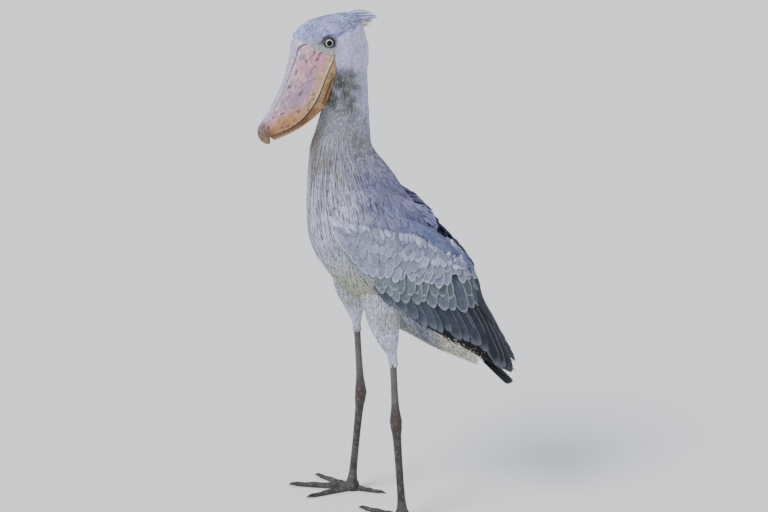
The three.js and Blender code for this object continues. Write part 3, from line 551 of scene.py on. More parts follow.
def head_tint(points):
    """The head's colours, from its own axes: slate cap, pale cheek, greenish lores and a mottled jaw."""
    ahead, above, left = to_head(points)
    behind, over = from_eye(ahead, above)
    coarse, fine = speckle(points, 20, 3), speckle(points, 7, 4)
    streak = speckle(np.stack([ahead / 4.5, above, left], -1), 2.6, 19)
    border = above - np.interp(ahead, CAP_EDGE[:, 0], CAP_EDGE[:, 1]) + 3 * (fine - 0.5)
    soft = 12 * smooth(behind, 4, -14)
    cap = smooth(border, -1.5 - soft, 3.5 + 0.6 * soft)
    lores = smooth(behind, 6, -10) * smooth(over, 18, 6) * smooth(over, -42, -22) * (1 - cap)
    jaw = smooth(over, -50, -68) * smooth(over, -176, -150) * smooth(behind, 82, 52)
    reach = np.hypot(behind + 5 * smooth(behind, 0, -20), over)
    tint = layered(TONE, TONE["face"], [
        ("cheek", 0.8 * smooth(behind, 6, 30) * smooth(over, -75, -45)),
        ("cap", cap),
        # A darker band of the cap along its edge behind the eye: painted shade.
        ("cap_dark", 0.8 * cap * smooth(border, 30, 4) * smooth(behind, -8, 20)),
        ("cap_dark", 0.45 * cap * smooth(coarse, 0.45, 0.62)),
        ("fringe", 0.55 * cap * smooth(streak, 0.5, 0.66)),
        ("cap_dark", 0.5 * cap * smooth(streak, 0.42, 0.3)),
        ("lores", 0.9 * lores * smooth(over, 2, -12)),
        ("cap_dark", 0.5 * lores * smooth(fine, 0.5, 0.68)),
        ("lores", 0.7 * np.exp(-((behind - 6) / 14) ** 2 - ((over + 22) / 9) ** 2)),
        ("jaw", jaw * (0.55 + 0.45 * smooth(coarse, 0.35, 0.55))),
        ("jaw_dark", 0.8 * jaw * smooth(coarse * 0.5 + fine * 0.5, 0.52, 0.62)),
        ("lores", 0.5 * jaw * smooth(fine, 0.6, 0.72)),
        ("socket", 0.85 * smooth(reach, 17.5, 13.5)),
        ("socket", 0.8 * np.exp(-((behind + 21) / 8) ** 2 - ((over + 4) / 4.5) ** 2)),
        ("nape", 0.7 * smooth(behind, 74, 92) * smooth(over, -120, 0)),
    ])
    return tint * (0.88 + 0.24 * fine)[:, None]


def coat_tint(points):
    return mix(body_tint(points), head_tint(points), smooth(points[:, 2], 985, 1030))


def brow(ahead, above, left):
    """How far the skin stands out over the eye and sinks round it."""
    behind, over = from_eye(ahead, above)
    ridge = np.exp(-(behind / 22) ** 2 - ((over - 15 + 0.28 * behind) / 5.5) ** 2)
    socket = np.exp(-(np.hypot(behind, over) / 17) ** 6)
    return (4.2 * ridge - 1.5 * socket) * smooth(np.abs(left), 20, 34)


# Skin under the coat

def pad_rings(line, below, above, height, climb, hand, inset=3.0):
    first = [line[0][i] + 0.3 * (line[0][i] - line[1][i]) for i in (0, 1)]
    last = [line[-1][i] + 0.3 * (line[-1][i] - line[-2][i]) for i in (0, 1)]
    whole = [first, *line, last]
    t = np.linspace(0, 1, 24)
    here = curve_at(whole, t)
    run2 = curve_at(whole, np.minimum(1, t + 0.03)) - curve_at(whole, np.maximum(0, t - 0.03))
    k, angle = trunk_spot(here[:, 0], here[:, 1])
    base = trunk_point(k, angle, -8.0, hand)
    out = unit(trunk_point(k, angle, 5.0, hand) - trunk_point(k, angle, 0.0, hand))
    run = unit(place(run2[:, 0], 0, run2[:, 1]))
    across = unit(np.cross(run, out)) * hand
    ends = np.sqrt(np.maximum(0.05, 1 - (2 * t - 1) ** 8))
    turn = np.radians(np.linspace(0, 360, 16, endpoint=False))
    cos, sin = np.cos(turn), np.sin(turn)
    wide = (ends[:, None] * cos * np.where(cos > 0, below, above)) * 0.9
    tall = np.where(sin > 0, sin * ((height - inset + 8) + climb * t * t)[:, None] * ends[:, None], sin * 8)
    return base[:, None] + across[:, None] * wide[..., None] + out[:, None] * tall[..., None]


round_trunk = np.linspace(0, 360, 72, endpoint=False)
trunk_k = np.linspace(0.1, 12.2, 120)[:, None]
shapes = [tube(trunk_point(trunk_k, round_trunk, -np.interp(trunk_k, [0.1, 1.8], [1.8, COAT]), LEFT))]
skull_rings = skull_point(np.linspace(0, 11, 110)[:, None], np.linspace(0, 360, 90, endpoint=False), -1.6)
shapes.append(tube(skull_rings))
for leg in LEGS.values():
    shapes.append(tube(limb(leg["thigh"], 40, 40, (1, 0, 0), 2.5)))
    shapes.append(tube(pad_rings(FOREARM, 12, 44, 27, 8, leg["hand"])))
    shapes.append(tube(pad_rings(SHOULDER, 44, 28, 23, 7, leg["hand"])))
skin = fused("skin", shapes, 3.0, 8)
skin_points = points_of(skin)
ahead, above, left = to_head(skin_points)
swell = brow(ahead, above, left) * smooth(skin_points[:, 2], 1060, 1090)
skin_points = skin_points + normals_of(skin) * swell[:, None]
put_points(skin, skin_points)
# The skin under the coat takes the coat's colours a tenth darker: painted shade in the gaps between the
# feathers.
set_colours(skin, coat_tint(skin_points) * 0.9)

# How far the skin stands over the bare trunk, on each side, from rays cast inwards

tree = BVHTree.FromPolygons([Vector(v) for v in points_of(skin)],
                            [tuple(f.vertices) for f in skin.data.polygons])
GRID_K, GRID_A = np.linspace(2.0, 12.1, 110), np.linspace(0, 130, 66)
FAR, NEAR = 90.0, -20.0


def cast(hand):
    start = trunk_point(GRID_K[:, None], GRID_A, FAR, hand)
    way = trunk_point(GRID_K[:, None], GRID_A, NEAR, hand) - start
    rise = np.full(start.shape[:2], -COAT)
    for i in range(start.shape[0]):
        for j in range(start.shape[1]):
            hit = tree.ray_cast(Vector(start[i, j]), Vector(way[i, j]).normalized(), FAR - NEAR)
            if hit[0] is not None:
                rise[i, j] = min(FAR - hit[3], 45)
    return rise


RISE = {hand: cast(hand) for hand in (LEFT, RIGHT)}


def skin_rise(k, angle, hand):
    """How high the skin stands over the trunk, from the grid of rays."""
    k, angle, hand = np.broadcast_arrays(k, angle, hand)
    x = np.clip((k - GRID_K[0]) / (GRID_K[1] - GRID_K[0]), 0, len(GRID_K) - 1.001)
    y = np.clip((angle - GRID_A[0]) / (GRID_A[1] - GRID_A[0]), 0, len(GRID_A) - 1.001)
    i, j = x.astype(int), y.astype(int)
    u, v = x - i, y - j
    result = np.zeros(k.shape)
    for side, rise in RISE.items():
        value = (rise[i, j] * (1 - u) * (1 - v) + rise[i + 1, j] * u * (1 - v)
                 + rise[i, j + 1] * (1 - u) * v + rise[i + 1, j + 1] * u * v)
        result = np.where(hand == side, value, result)
    return result


def on_the_skin(points):
    """The nearest places of the skin, and its normals there."""
    found = [tree.find_nearest(Vector(point))[:2] for point in points]
    return np.array([spot for spot, _ in found]), np.array([normal for _, normal in found])


# Coat of the trunk

# Cells of the OFBake map: left, low, wide, high
TRUNK_CELL = np.array([0.02, 0.02, 0.46, 0.96])
HEAD_CELL = np.array([0.5, 0.52, 0.46, 0.46])
WING_CELL = {LEFT: np.array([0.5, 0.02, 0.22, 0.3]), RIGHT: np.array([0.74, 0.02, 0.22, 0.3])}
LEG_CELL = {LEFT: np.array([0.5, 0.36, 0.22, 0.12]), RIGHT: np.array([0.74, 0.36, 0.22, 0.12])}


def cell(box, u, v):
    return np.stack([box[0] + box[2] * np.clip(u, 0, 1), box[1] + box[3] * np.clip(v, 0, 1)], -1)


def inside_wing(forward, up, shrink):
    """True where a side view lies under the folded wing."""
    edge = np.array(WING_EDGE, float)
    centre = edge.mean(0)
    edge = centre + (edge - centre) * shrink
    result = np.zeros(forward.shape, bool)
    for (x1, y1), (x2, y2) in zip(edge, np.roll(edge, -1, 0)):
        crossing = ((y1 > up) != (y2 > up)) & (forward < (x2 - x1) * (up - y1) / (y2 - y1 + 1e-9) + x1)
        result ^= crossing
    return result


def trunk_seats(k_from, k_to, gap_along, gap_round, low, high, jitter=0.35):
    """Staggered seats over the trunk between two angles, on both sides: k, angle, hand."""
    ks, angles, hands = [], [], []
    k, odd = k_from, 0
    while k < k_to:
        _, _, _, stride = trunk_frame(np.array(k))
        back, belly, side = spline(TRUNK[:, 2:], k)
        radius = (back + belly + 2 * side) / 4
        step = np.degrees(gap_round / radius)
        for hand in (LEFT, RIGHT):
            a = np.arange(low + step * (0.25 + 0.5 * odd), high, step)
            ks.append(np.full(len(a), k))
            angles.append(a)
            hands.append(np.full(len(a), hand))
        odd = 1 - odd
        k += gap_along / stride
    ks, angles, hands = (np.concatenate(v) for v in (ks, angles, hands))
    _, _, _, stride = trunk_frame(ks)
    ks = ks + jitter * gap_along / stride * rng.uniform(-1, 1, len(ks))
    angles = angles + jitter * rng.uniform(-1, 1, len(ks)) * np.degrees(gap_round / 100)
    return ks, np.clip(angles, 0.5, 179.5), hands


def trunk_feathers(coat, span, gaps, angles, length, half, rise, shape="plume", stops=4, spread=0.0,
                   keep=None, on_skin=False, pale=0.3, stray=0.35, **looks):
    """Feathers along the trunk, seated between two stations and two angles, gaps apart along and round it.

    rise is their height over the solids' surface at root, middle and tip.
    """
    k, angle, hand = trunk_seats(*span, *gaps, *angles)
    base = trunk_point(k, angle, 0, hand)
    chosen = base[:, 2] < NECK_TOP + 6
    if keep is not None:
        chosen &= keep(-base[:, 1], base[:, 2], k, angle)
    if not chosen.all():
        k, angle, hand, base = k[chosen], angle[chosen], hand[chosen], base[chosen]
    size = 1 + 0.2 * rng.uniform(-1, 1, len(k))
    length = (length(k, angle) if callable(length) else np.full(len(k), float(length))) * size
    half = (half(k, angle) if callable(half) else np.full(len(k), float(half))) * (0.8 + 0.2 * size)
    _, _, _, stride = trunk_frame(k)
    t = stops_for(stops)
    turn = (spread(k, angle) if callable(spread) else spread) + 9 * rng.normal(size=len(k)) * stray
    ks = k[:, None] + (length / stride)[:, None] * t * 0.97
    angles = angle[:, None] + (turn * length / 100)[:, None] * t
    heights = np.interp(t, [0, 0.5, 1], rise) + 0.4 * rng.normal(size=len(k))[:, None] * t
    path = trunk_point(ks, angles, 0, hand[:, None])
    below = top_of_wing(-path[..., 1]) - path[..., 2]
    if on_skin:
        heights = heights + 2.2 * smooth(below, -20, 0)
        heights = heights + np.maximum(0, skin_rise(ks, angles, hand[:, None]) + COAT)
    else:
        under = inside_wing(-path[..., 1], path[..., 2], 1.04)
        under |= inside_wing(-path[..., 1], path[..., 2], 1.24) & (path[..., 2] < 560)
        under &= (ks > 5.5) & (angles > 30)
        heights = np.where(under, np.minimum(heights, -8), heights)
    centre = trunk_point(ks, angles, heights, hand[:, None])
    above = trunk_point(ks, angles, heights + 5, hand[:, None])
    side, lift = directions(centre, above)
    side, lift = tilted(side, lift, 6 * rng.normal(size=len(k)))
    tint = coat_tint(base) * (0.88 + 0.24 * rng.random(len(k)))[:, None]
    root_uv = cell(TRUNK_CELL, k / 12.5, 0.5 + 0.5 * hand * angle / 182)
    fringe = mix(tint, TONE["fringe"], np.full(len(k), pale))
    coat.add(centre, side, lift, half, tint, fringe, root_uv, shape, stops=t, **looks)


def off_wing(forward, up, k, angle):
    return ~((k > 5) & (angle > 30) & inside_wing(forward, up, 0.9))


def on_mantle(forward, up, k, angle):
    return up > top_of_wing(forward) + 12 * smooth(forward, 20, 70)


def grows(first, rate, start=0.0):
    """A size that grows by a rate from a first value with the station."""
    return lambda k, angle: first + rate * (k - start)


body_coat, mantle_coat = Coat(), Coat()
# Neck, then the hackles behind it
trunk_feathers(body_coat, (0.15, 3.8), (4.2, 4.0), (0, 180), grows(12, 5), grows(2.7, 0.4),
               (-4.6, -1.4, -0.4), ragged=0.08)
trunk_feathers(body_coat, (3.4, 5.2), (6.5, 5.5), (0, 70), grows(28, 5, 3.3), 4.8, (-5, -1.2, 0.0),
               on_skin=True, keep=off_wing, pale=0.2)
# Mantle and scapulars
trunk_feathers(mantle_coat, (4.4, 7.2), (7.5, 6.5), (0, 104), grows(40, 9, 4.4), grows(4.4, 0.7, 4.4),
               (-5, -0.4, 1.2), stops=6, columns=3, on_skin=True, keep=on_mantle, pale=0.35, thick=0.25,
               ragged=0.06)
trunk_feathers(mantle_coat, (6.3, 10.6), (21, 14), (0, 112), grows(60, 7, 6.3),
               lambda k, a: 9 + 4 * smooth(k, 6.3, 8), (-5, 1.2, 3.4), "contour", stops=9, columns=7,
               on_skin=True, keep=on_mantle, pale=0.12, thick=0.35, stray=0.6)
# Breast, belly, vent, and the breast's long plumes
trunk_feathers(body_coat, (3.2, 7.4), (6.2, 5.0), (62, 180), grows(30, 2, 3.2), 3.9, (-5, -1.3, -0.2),
               keep=off_wing, ragged=0.08)
trunk_feathers(body_coat, (6.6, 10.2), (6.8, 5.6), (66, 180), 32, 4.8, (-5, -1.0, 0.2), keep=off_wing,
               ragged=0.12)
trunk_feathers(body_coat, (9.4, 12.0), (6.0, 5.5), (84, 180), lambda k, a: 50 + 10 * smooth(a, 110, 160),
               3.4, (-7, 1.5, 11.0), stops=6, ragged=0.2, camber=0.05, stray=1.4)
trunk_feathers(body_coat, (3.0, 6.2), (13, 8.5), (80, 180), grows(58, 10, 3.0), 3.4, (-3, 0.4, 1.8),
               stops=8, keep=off_wing, ragged=0.12, pale=0.45, stray=0.5,
               spread=lambda k, a: -3 * smooth(a, 150, 100))

# Coat of the head

def upper_outline(row, v):
    """Height and distance out of the upper bill at v from its ridge, 0, to its cutting edge, 1."""
    _, culmen, mouth, _, side, ridge = (c[..., None] for c in np.moveaxis(row, -1, 0))
    low = mouth + 0.2
    deep = culmen - low
    groove = np.minimum(4, (culmen - mouth) * 0.08)
    dome = np.clip((v - 0.22) / 0.78, 0, 1)
    start = culmen - groove * 1.9
    height = np.where(v < 0.15, culmen - 1.2 * (v / 0.15) ** 2,
                      np.where(v < 0.22, culmen - 1.2 - (groove * 1.9 - 1.2) * smooth(v, 0.15, 0.22),
                               low + deep * ((start - low) / deep) * (1 - dome ** 1.25)))
    share = np.clip((height - low) / deep, 0, 1)
    round_out = (1 - share ** 1.6) ** (1 / 1.6)
    ridge_out = ridge * v / 0.15
    out = np.where(v < 0.15, ridge_out, np.maximum(ridge + 1.5 * smooth(v, 0.15, 0.2),
                                                    ridge + (side - ridge) * round_out))
    return height, out


def inside_bill(ahead, above, left, margin):
    """True where a point of the head lies within the bill."""
    x = np.interp(ahead, BILL[:, 0], np.arange(len(BILL)))
    _, culmen, mouth, chin, side, ridge = np.moveaxis(spline(BILL, x), -1, 0)
    top = np.clip((culmen - above) / np.maximum(culmen - chin, 1), 0, 1)
    share = (1 - (1 - top) ** 1.6) ** (1 / 1.6)
    wide = ridge + (side - ridge) * share
    low = np.clip((mouth - above) / np.maximum(mouth - chin, 1), 0, 1)
    wide = np.where(above < mouth, 0.94 * side * (1 - low ** 2) ** 0.4 - 1.5, wide)
    level = (above < culmen + margin) & (above > chin)
    return (ahead > BILL[0, 0] - margin) & level & (np.abs(left) < wide + margin)


def head_way(points, normals):
    """The lie of the feathers: back over the crown, then down over cheeks, nape and neck."""
    behind, over = from_eye(*to_head(points)[:2])
    down = np.maximum(smooth(behind, 22, 74), smooth(over, -30, -82))[:, None]
    back = unit(head_point(-1, 0, 0) - head_point(0, 0, 0))
    way = back * (1 - down) + np.array([0, 0, -1.0]) * down
    return unit(way - (way * normals).sum(-1, keepdims=True) * normals)


corners = points_of(skin)
middles = np.array([corners[list(face.vertices)].mean(0) for face in skin.data.polygons])
close = from_eye(*to_head(middles)[:2])
middles = middles[(np.hypot(*close) < 42 + 8 * rng.random(len(middles))) & (middles[:, 2] > 1060)]
seat = np.concatenate([corners, middles])
seat = seat[seat[:, 2] > NECK_TOP + 9 * rng.normal(size=len(seat))]
seat = seat + 0.9 * rng.normal(size=seat.shape)
ahead, above, left = to_head(seat)
behind, over = from_eye(ahead, above)
on_eye = (np.hypot(behind, over) < EYE["radius"] + 1.5) & (np.abs(left) > 30)
seat = seat[~on_eye & ~inside_bill(ahead, above, left, -1.0)]
ahead, above, left = to_head(seat)
behind, over = from_eye(ahead, above)
size = 0.85 + 0.3 * rng.random(len(seat))
face_near = smooth(np.hypot(behind, over), 60, 16) * smooth(over, -60, -30)
length = (13.5 - 7.5 * face_near + 5 * smooth(over, -50, -90)) * size
half = (2.5 - 1.1 * face_near + 0.5 * smooth(over, -60, -100)) * size
t = stops_for(3)
here, normals = on_the_skin(seat)
line, normals_line = [here], [normals]
for step in np.diff(t):
    way = head_way(here, normals) + 0.12 * rng.normal(size=here.shape)
    here, normals = on_the_skin(here + way * (length * step)[:, None])
    line.append(here)
    normals_line.append(normals)
line, normals_line = np.stack(line, 1), np.stack(normals_line, 1)
heights = np.interp(t, [0, 0.5, 1], (-1.0, 0.8, 1.5)) + 0.15 * rng.normal(size=len(seat))[:, None] * t
heights = heights + 0.5 * smooth(seat[:, 2], 1060, 1030)[:, None] * t
centre = line + normals_line * heights[..., None]
side, lift = directions(centre, centre + normals_line)
tint = coat_tint(seat) * (0.92 + 0.16 * rng.random(len(seat)))[:, None]
head_coat = Coat()
head_uv = cell(HEAD_CELL, (ahead + 100) / 240, np.arctan2(left, above - 10) / (2 * math.pi) + 0.5)
fringe = mix(tint, TONE["fringe"], np.full(len(seat), 0.18))
head_coat.add(centre, side, lift, half, tint, fringe, head_uv, "plume", 3, thick=0.1, camber=0.12, stops=t,
              shade=0.2)

# Crest: a short pointed tuft at the back of the crown, and wisps down the nape

count, upper = 170, 120
level = np.concatenate([rng.random(upper), rng.beta(2, 3, count - upper)]) * 0.92
spread = rng.uniform(-1, 1, count)
root = beside_eye(40 + 34 * level, 60 - 30 * level, 10 * spread)
ends = curve_at([(99, 66), (118, 54), (107, 44), (92, 24)], level)
ends = ends - (0.5 * rng.random(count) ** 2)[:, None] * (ends - [62, 54])
tip = beside_eye(ends[:, 0], ends[:, 1], 10 * spread)
bend = (root + tip) / 2 + np.array([0, 0, 1]) * (9.5 - 9 * level)[:, None]
t = stops_for(8)[:, None]
centre = ((1 - t) ** 2)[None] * root[:, None] + (2 * t * (1 - t))[None] * bend[:, None]
centre = centre + (t * t)[None] * tip[:, None]
flat = unit(head_point(0, 0, 1) - head_point(0, 0, 0))
run = unit(np.gradient(centre, axis=1))
side = unit(np.broadcast_to(flat, centre.shape) - (run @ flat)[..., None] * run)
lift = np.cross(run, side)
side, lift = tilted(side, lift, 60 * spread + 12 * rng.normal(size=count))
tint = mix(TONE["cap"], TONE["nape"], smooth(level + 0.2 * rng.normal(size=count), 0.1, 0.7))
crest_uv = cell(HEAD_CELL, np.full(count, 0.01), 0.5 + 0.05 * spread)
head_coat.add(centre, side, lift, 3.0 + 1.6 * rng.random(count), tint,
              mix(tint, TONE["cream"], np.full(count, 0.8)), crest_uv, "plume", 5, thick=0.2, camber=0.2,
              stops=t[:, 0], ragged=0.12, shade=0.15)

# Wings


def between(first, second, share):
    """A line of nine points between two lines."""
    t = np.linspace(0, 1, 9)
    return curve_at(first, t) * (1 - share) + curve_at(second, t) * share


FLIGHT = dict(shape="flight", stops=14, reach=None)
COVERT = dict(arm=FOREARM, lift=9, lag=2, shape="contour")
ROWS = [
    dict(FLIGHT, count=9, arm=HAND, span=(0.74, 1.0), half=12, rise=4.2, lift=5, lag=1, shape="primary",
         tips=PRIMARY_TIPS, tint=("black", "black"), pale=0.04),
    dict(FLIGHT, count=17, arm=FOREARM, span=(0.02, 0.9), half=15.5, rise=11, lift=9, lag=2,
         tips=SECONDARY_TIPS, tint=("dark", "night"), pale=0.13),
    dict(FLIGHT, count=7, arm=FOREARM, span=(0.84, 1), half=20, rise=19, lift=8, lag=1, tips=TERTIAL_TIPS,
         tint=("night", "night"), pale=0.05),
    dict(COVERT, count=15, span=(0.0, 0.94), half=17, rise=15.2, stops=10, tips=GREATER_TIPS,
         tint=("teal", "dark"), pale=0.4, reach=120),
    dict(COVERT, count=17, span=(0.0, 0.95), half=15.5, rise=17.6, stops=9,
         tips=between(MEDIAN_TIPS, GREATER_TIPS, 0.52), tint=("teal", "teal_dark"), pale=0.5, reach=95),
    dict(COVERT, count=19, span=(0.0, 0.96), half=14, rise=20.0, stops=9, tips=MEDIAN_TIPS,
         tint=("covert", "covert"), pale=0.9, reach=80),
    dict(COVERT, count=22, span=(0.0, 0.97), half=12.5, rise=22.4, stops=8,
         tips=between(LESSER_TIPS, MEDIAN_TIPS, 0.55), tint=("covert", "covert"), pale=0.6, reach=62),
    dict(COVERT, count=25, span=(0.0, 0.98), half=10.5, rise=24.4, stops=7,
         tips=between(LESSER_TIPS, MEDIAN_TIPS, 0.12), tint=("covert", "band"), pale=0.5, reach=50),
]
LONG_SCAPULARS = 22  # on each side
LESSER_ROWS = (0.88, 0.76, 0.65, 0.55, 0.46, 0.37, 0.29, 0.21, 0.14, 0.07, 0.01)  # from the wing's top, 0


def wing_row(root, tip, hand, half, rise, shape, tint, fringe, stops, columns, on_skin, over=1.2):
    """One row of a wing's feathers between roots and tips given in the side view."""
    count = len(root)
    t = stops_for(stops)
    path = root[:, None] + (tip - root)[:, None] * t[None, :, None]
    k, angle = trunk_spot(path[..., 0], path[..., 1])
    sunk = 12 if shape == "flight" else 4
    heights = rise[:, None] + 0.7 * rng.normal(size=count)[:, None] * t - sunk * (1 - smooth(t, 0, 0.25))
    if on_skin:
        over_skin = skin_rise(k, angle, hand) + over + 1.6 * smooth(t, 0, 0.5)
        heights = np.where(t < 0.05, heights, np.maximum(heights, over_skin))
    centre = trunk_point(k, angle, heights, hand)
    centre[..., 0] = hand * np.maximum(hand * centre[..., 0], 3.0)
    side, lift = directions(centre, trunk_point(k, angle, heights + 5, hand))
    side, lift = tilted(side, lift, 5 * hand * np.ones(count) + 2.5 * rng.normal(size=count))
    uv = cell(WING_CELL[hand], 0.5 + root[:, 0] / 500, (root[:, 1] - 500) / 400)
    wing_coat.add(centre, side, lift, half, tint, fringe, uv, shape, columns, thick=0.3, camber=0.08,
                  stops=t, ragged=0.03, shade=0.45)


def scattered(path, amount):
    return path + amount * rng.normal(size=path.shape)


def main_row(hand, row):
    """Flight feathers or the larger coverts of one wing."""
    count, reach = row["count"], row["reach"]
    share = np.clip(np.linspace(0, 1, count) + 0.12 / count * rng.normal(size=count), 0, 1)
    root = curve_at(row["arm"], row["span"][0] + (row["span"][1] - row["span"][0]) * share)
    tip = curve_at(row["tips"], share)
    way = tip - root
    full = np.linalg.norm(way, axis=1)
    uneven = 0.05 if reach else 0.025
    tip = scattered(root + way * (1 + uneven * rng.uniform(-1, 1, count))[:, None], 2.2)
    if reach:
        turned = np.radians(4.5 * rng.normal(size=count))
        way = unit(way)
        way = np.stack([way[:, 0] * np.cos(turned) - way[:, 1] * np.sin(turned),
                        way[:, 0] * np.sin(turned) + way[:, 1] * np.cos(turned)], -1)
        root = tip - way * np.minimum(full, reach)[:, None]
    rise = row["rise"] + row["lift"] * share ** row["lag"]
    half = row["half"] * (1 + 0.1 * rng.uniform(-1, 1, count))
    shade = (0.84 + 0.32 * rng.random(count))[:, None]
    tint = mix(TONE[row["tint"][0]], TONE[row["tint"][1]], share) * shade
    fringe = mix(tint, TONE["fringe"], row["pale"] * (0.75 + 0.25 * rng.random(count)))
    wing_row(root, tip, hand, half, rise, row["shape"], tint, fringe, row["stops"], 9, bool(reach))


def long_scapulars(hand):
    """Long dark feathers along the rear of one wing's top."""
    count = LONG_SCAPULARS
    share = np.sort(rng.random(count))
    tip = scattered(curve_at(SCAPULAR_TIPS, share), 4)
    root = scattered(curve_at(SCAPULAR_ROOTS, share), 3)
    tint = mix(TONE["slate"], TONE["night"], smooth(share + 0.12 * rng.normal(size=count), 0.35, 1.0))
    tint = tint * (0.85 + 0.3 * rng.random(count))[:, None]
    half, rise = 12 + 3 * rng.random(count), np.full(count, -99.0)
    fringe = mix(tint, TONE["fringe"], np.full(count, 0.16))
    wing_row(root, tip, hand, half, rise, "contour", tint, fringe, 11, 7, True, 7.0)


def lesser_row(hand, s):
    """Small coverts of one wing, s of the way from its top to the lesser coverts' lowest tips."""
    widest = 3.4 + 6.6 * s
    count = int(330 / (1.4 * widest))
    share = (np.arange(count) + rng.random()) / count + 0.3 / count * rng.normal(size=count)
    share = np.clip(share, 0, 1)
    share = share[share < 0.7 + 0.8 * s]
    count = len(share)
    tip = curve_at(WING_TOP, share) * (1 - s) + curve_at(LESSER_TIPS, share) * s
    arm_way = curve_at(FOREARM, np.minimum(1, share + 0.05)) - curve_at(FOREARM, np.maximum(0, share - 0.05))
    down_way = unit(curve_at(LESSER_TIPS, share) - curve_at(FOREARM, share))
    stray = 0.11 * rng.normal(size=(count, 2))
    way = unit(unit(arm_way) * (0.62 - 0.4 * s) + down_way * (0.38 + 0.4 * s) + stray)
    length = (15 + 31 * s) * (0.85 + 0.3 * rng.random(count))
    tip = scattered(tip, 2.2)
    root = tip - way * length[:, None]
    rise = 25 + 9 * share ** 2 + 3.5 * (1 - s) - 40 * smooth(s, 0.42, 0.0)
    shade = (0.84 + 0.32 * rng.random(count))[:, None]
    pale = smooth(s + 0.07 * rng.normal(size=count) - 0.2 * smooth(share, 0.3, 0.0), 0.68, 0.34)
    tint = mix(TONE["covert"], TONE["band"], pale) * shade
    fringe = mix(tint, TONE["fringe"], 0.55 - 0.25 * pale)
    half = widest * (0.88 + 0.24 * rng.random(count))
    wing_row(root, tip, hand, half, rise, "contour", tint, fringe, 5, 5, True)


wing_coat = Coat()
for hand in (LEFT, RIGHT):
    for row in ROWS:
        main_row(hand, row)
    long_scapulars(hand)
    for s in LESSER_ROWS:
        lesser_row(hand, s)

# Tail

tail_coat = Coat()
TAIL = dict(count=12, half=15.0, spread=9, length=200, root=11.35, height=5, step=0.9, tilt=4)
count = TAIL["count"]
here, run2, dorsal2, _ = trunk_frame(np.array(TAIL["root"]))
tilt = math.radians(-TAIL["tilt"])
back = place(dorsal2[0], 0, dorsal2[1])
straight = place(run2[0], 0, run2[1])
straight = np.array([0, straight[1] * math.cos(tilt) - straight[2] * math.sin(tilt),
                     straight[1] * math.sin(tilt) + straight[2] * math.cos(tilt)])
out = np.linspace(-1, 1, count)
angle = np.radians(TAIL["spread"] * out)
way = straight[None] * np.cos(angle)[:, None] + np.cross(back, straight)[None] * np.sin(angle)[:, None]
level = TAIL["height"] - TAIL["step"] * (count * np.abs(out) + (out > 0))
t = stops_for(14)
reach = TAIL["length"] * (1 - 0.05 * out ** 2)
root = place(here[0], 0, here[1]) + back * level[:, None]
centre = root[:, None] + way[:, None] * (reach[:, None] * t)[..., None]
lift = np.broadcast_to(back, centre.shape)
side = np.cross(lift, np.broadcast_to(way[:, None], centre.shape))
tint = np.broadcast_to(TONE["black"], (count, 3)) * (0.9 + 0.2 * rng.random(count))[:, None]
fringe = mix(tint, TONE["fringe"], np.full(count, 0.1))
tail_uv = cell(TRUNK_CELL, np.full(count, 0.98), 0.5 + 0.03 * out)
tail_coat.add(centre, side, lift, np.full(count, TAIL["half"]), tint, fringe, tail_uv, "flight", 9,
              thick=0.4, camber=0.03, stops=t)

# Thigh coat

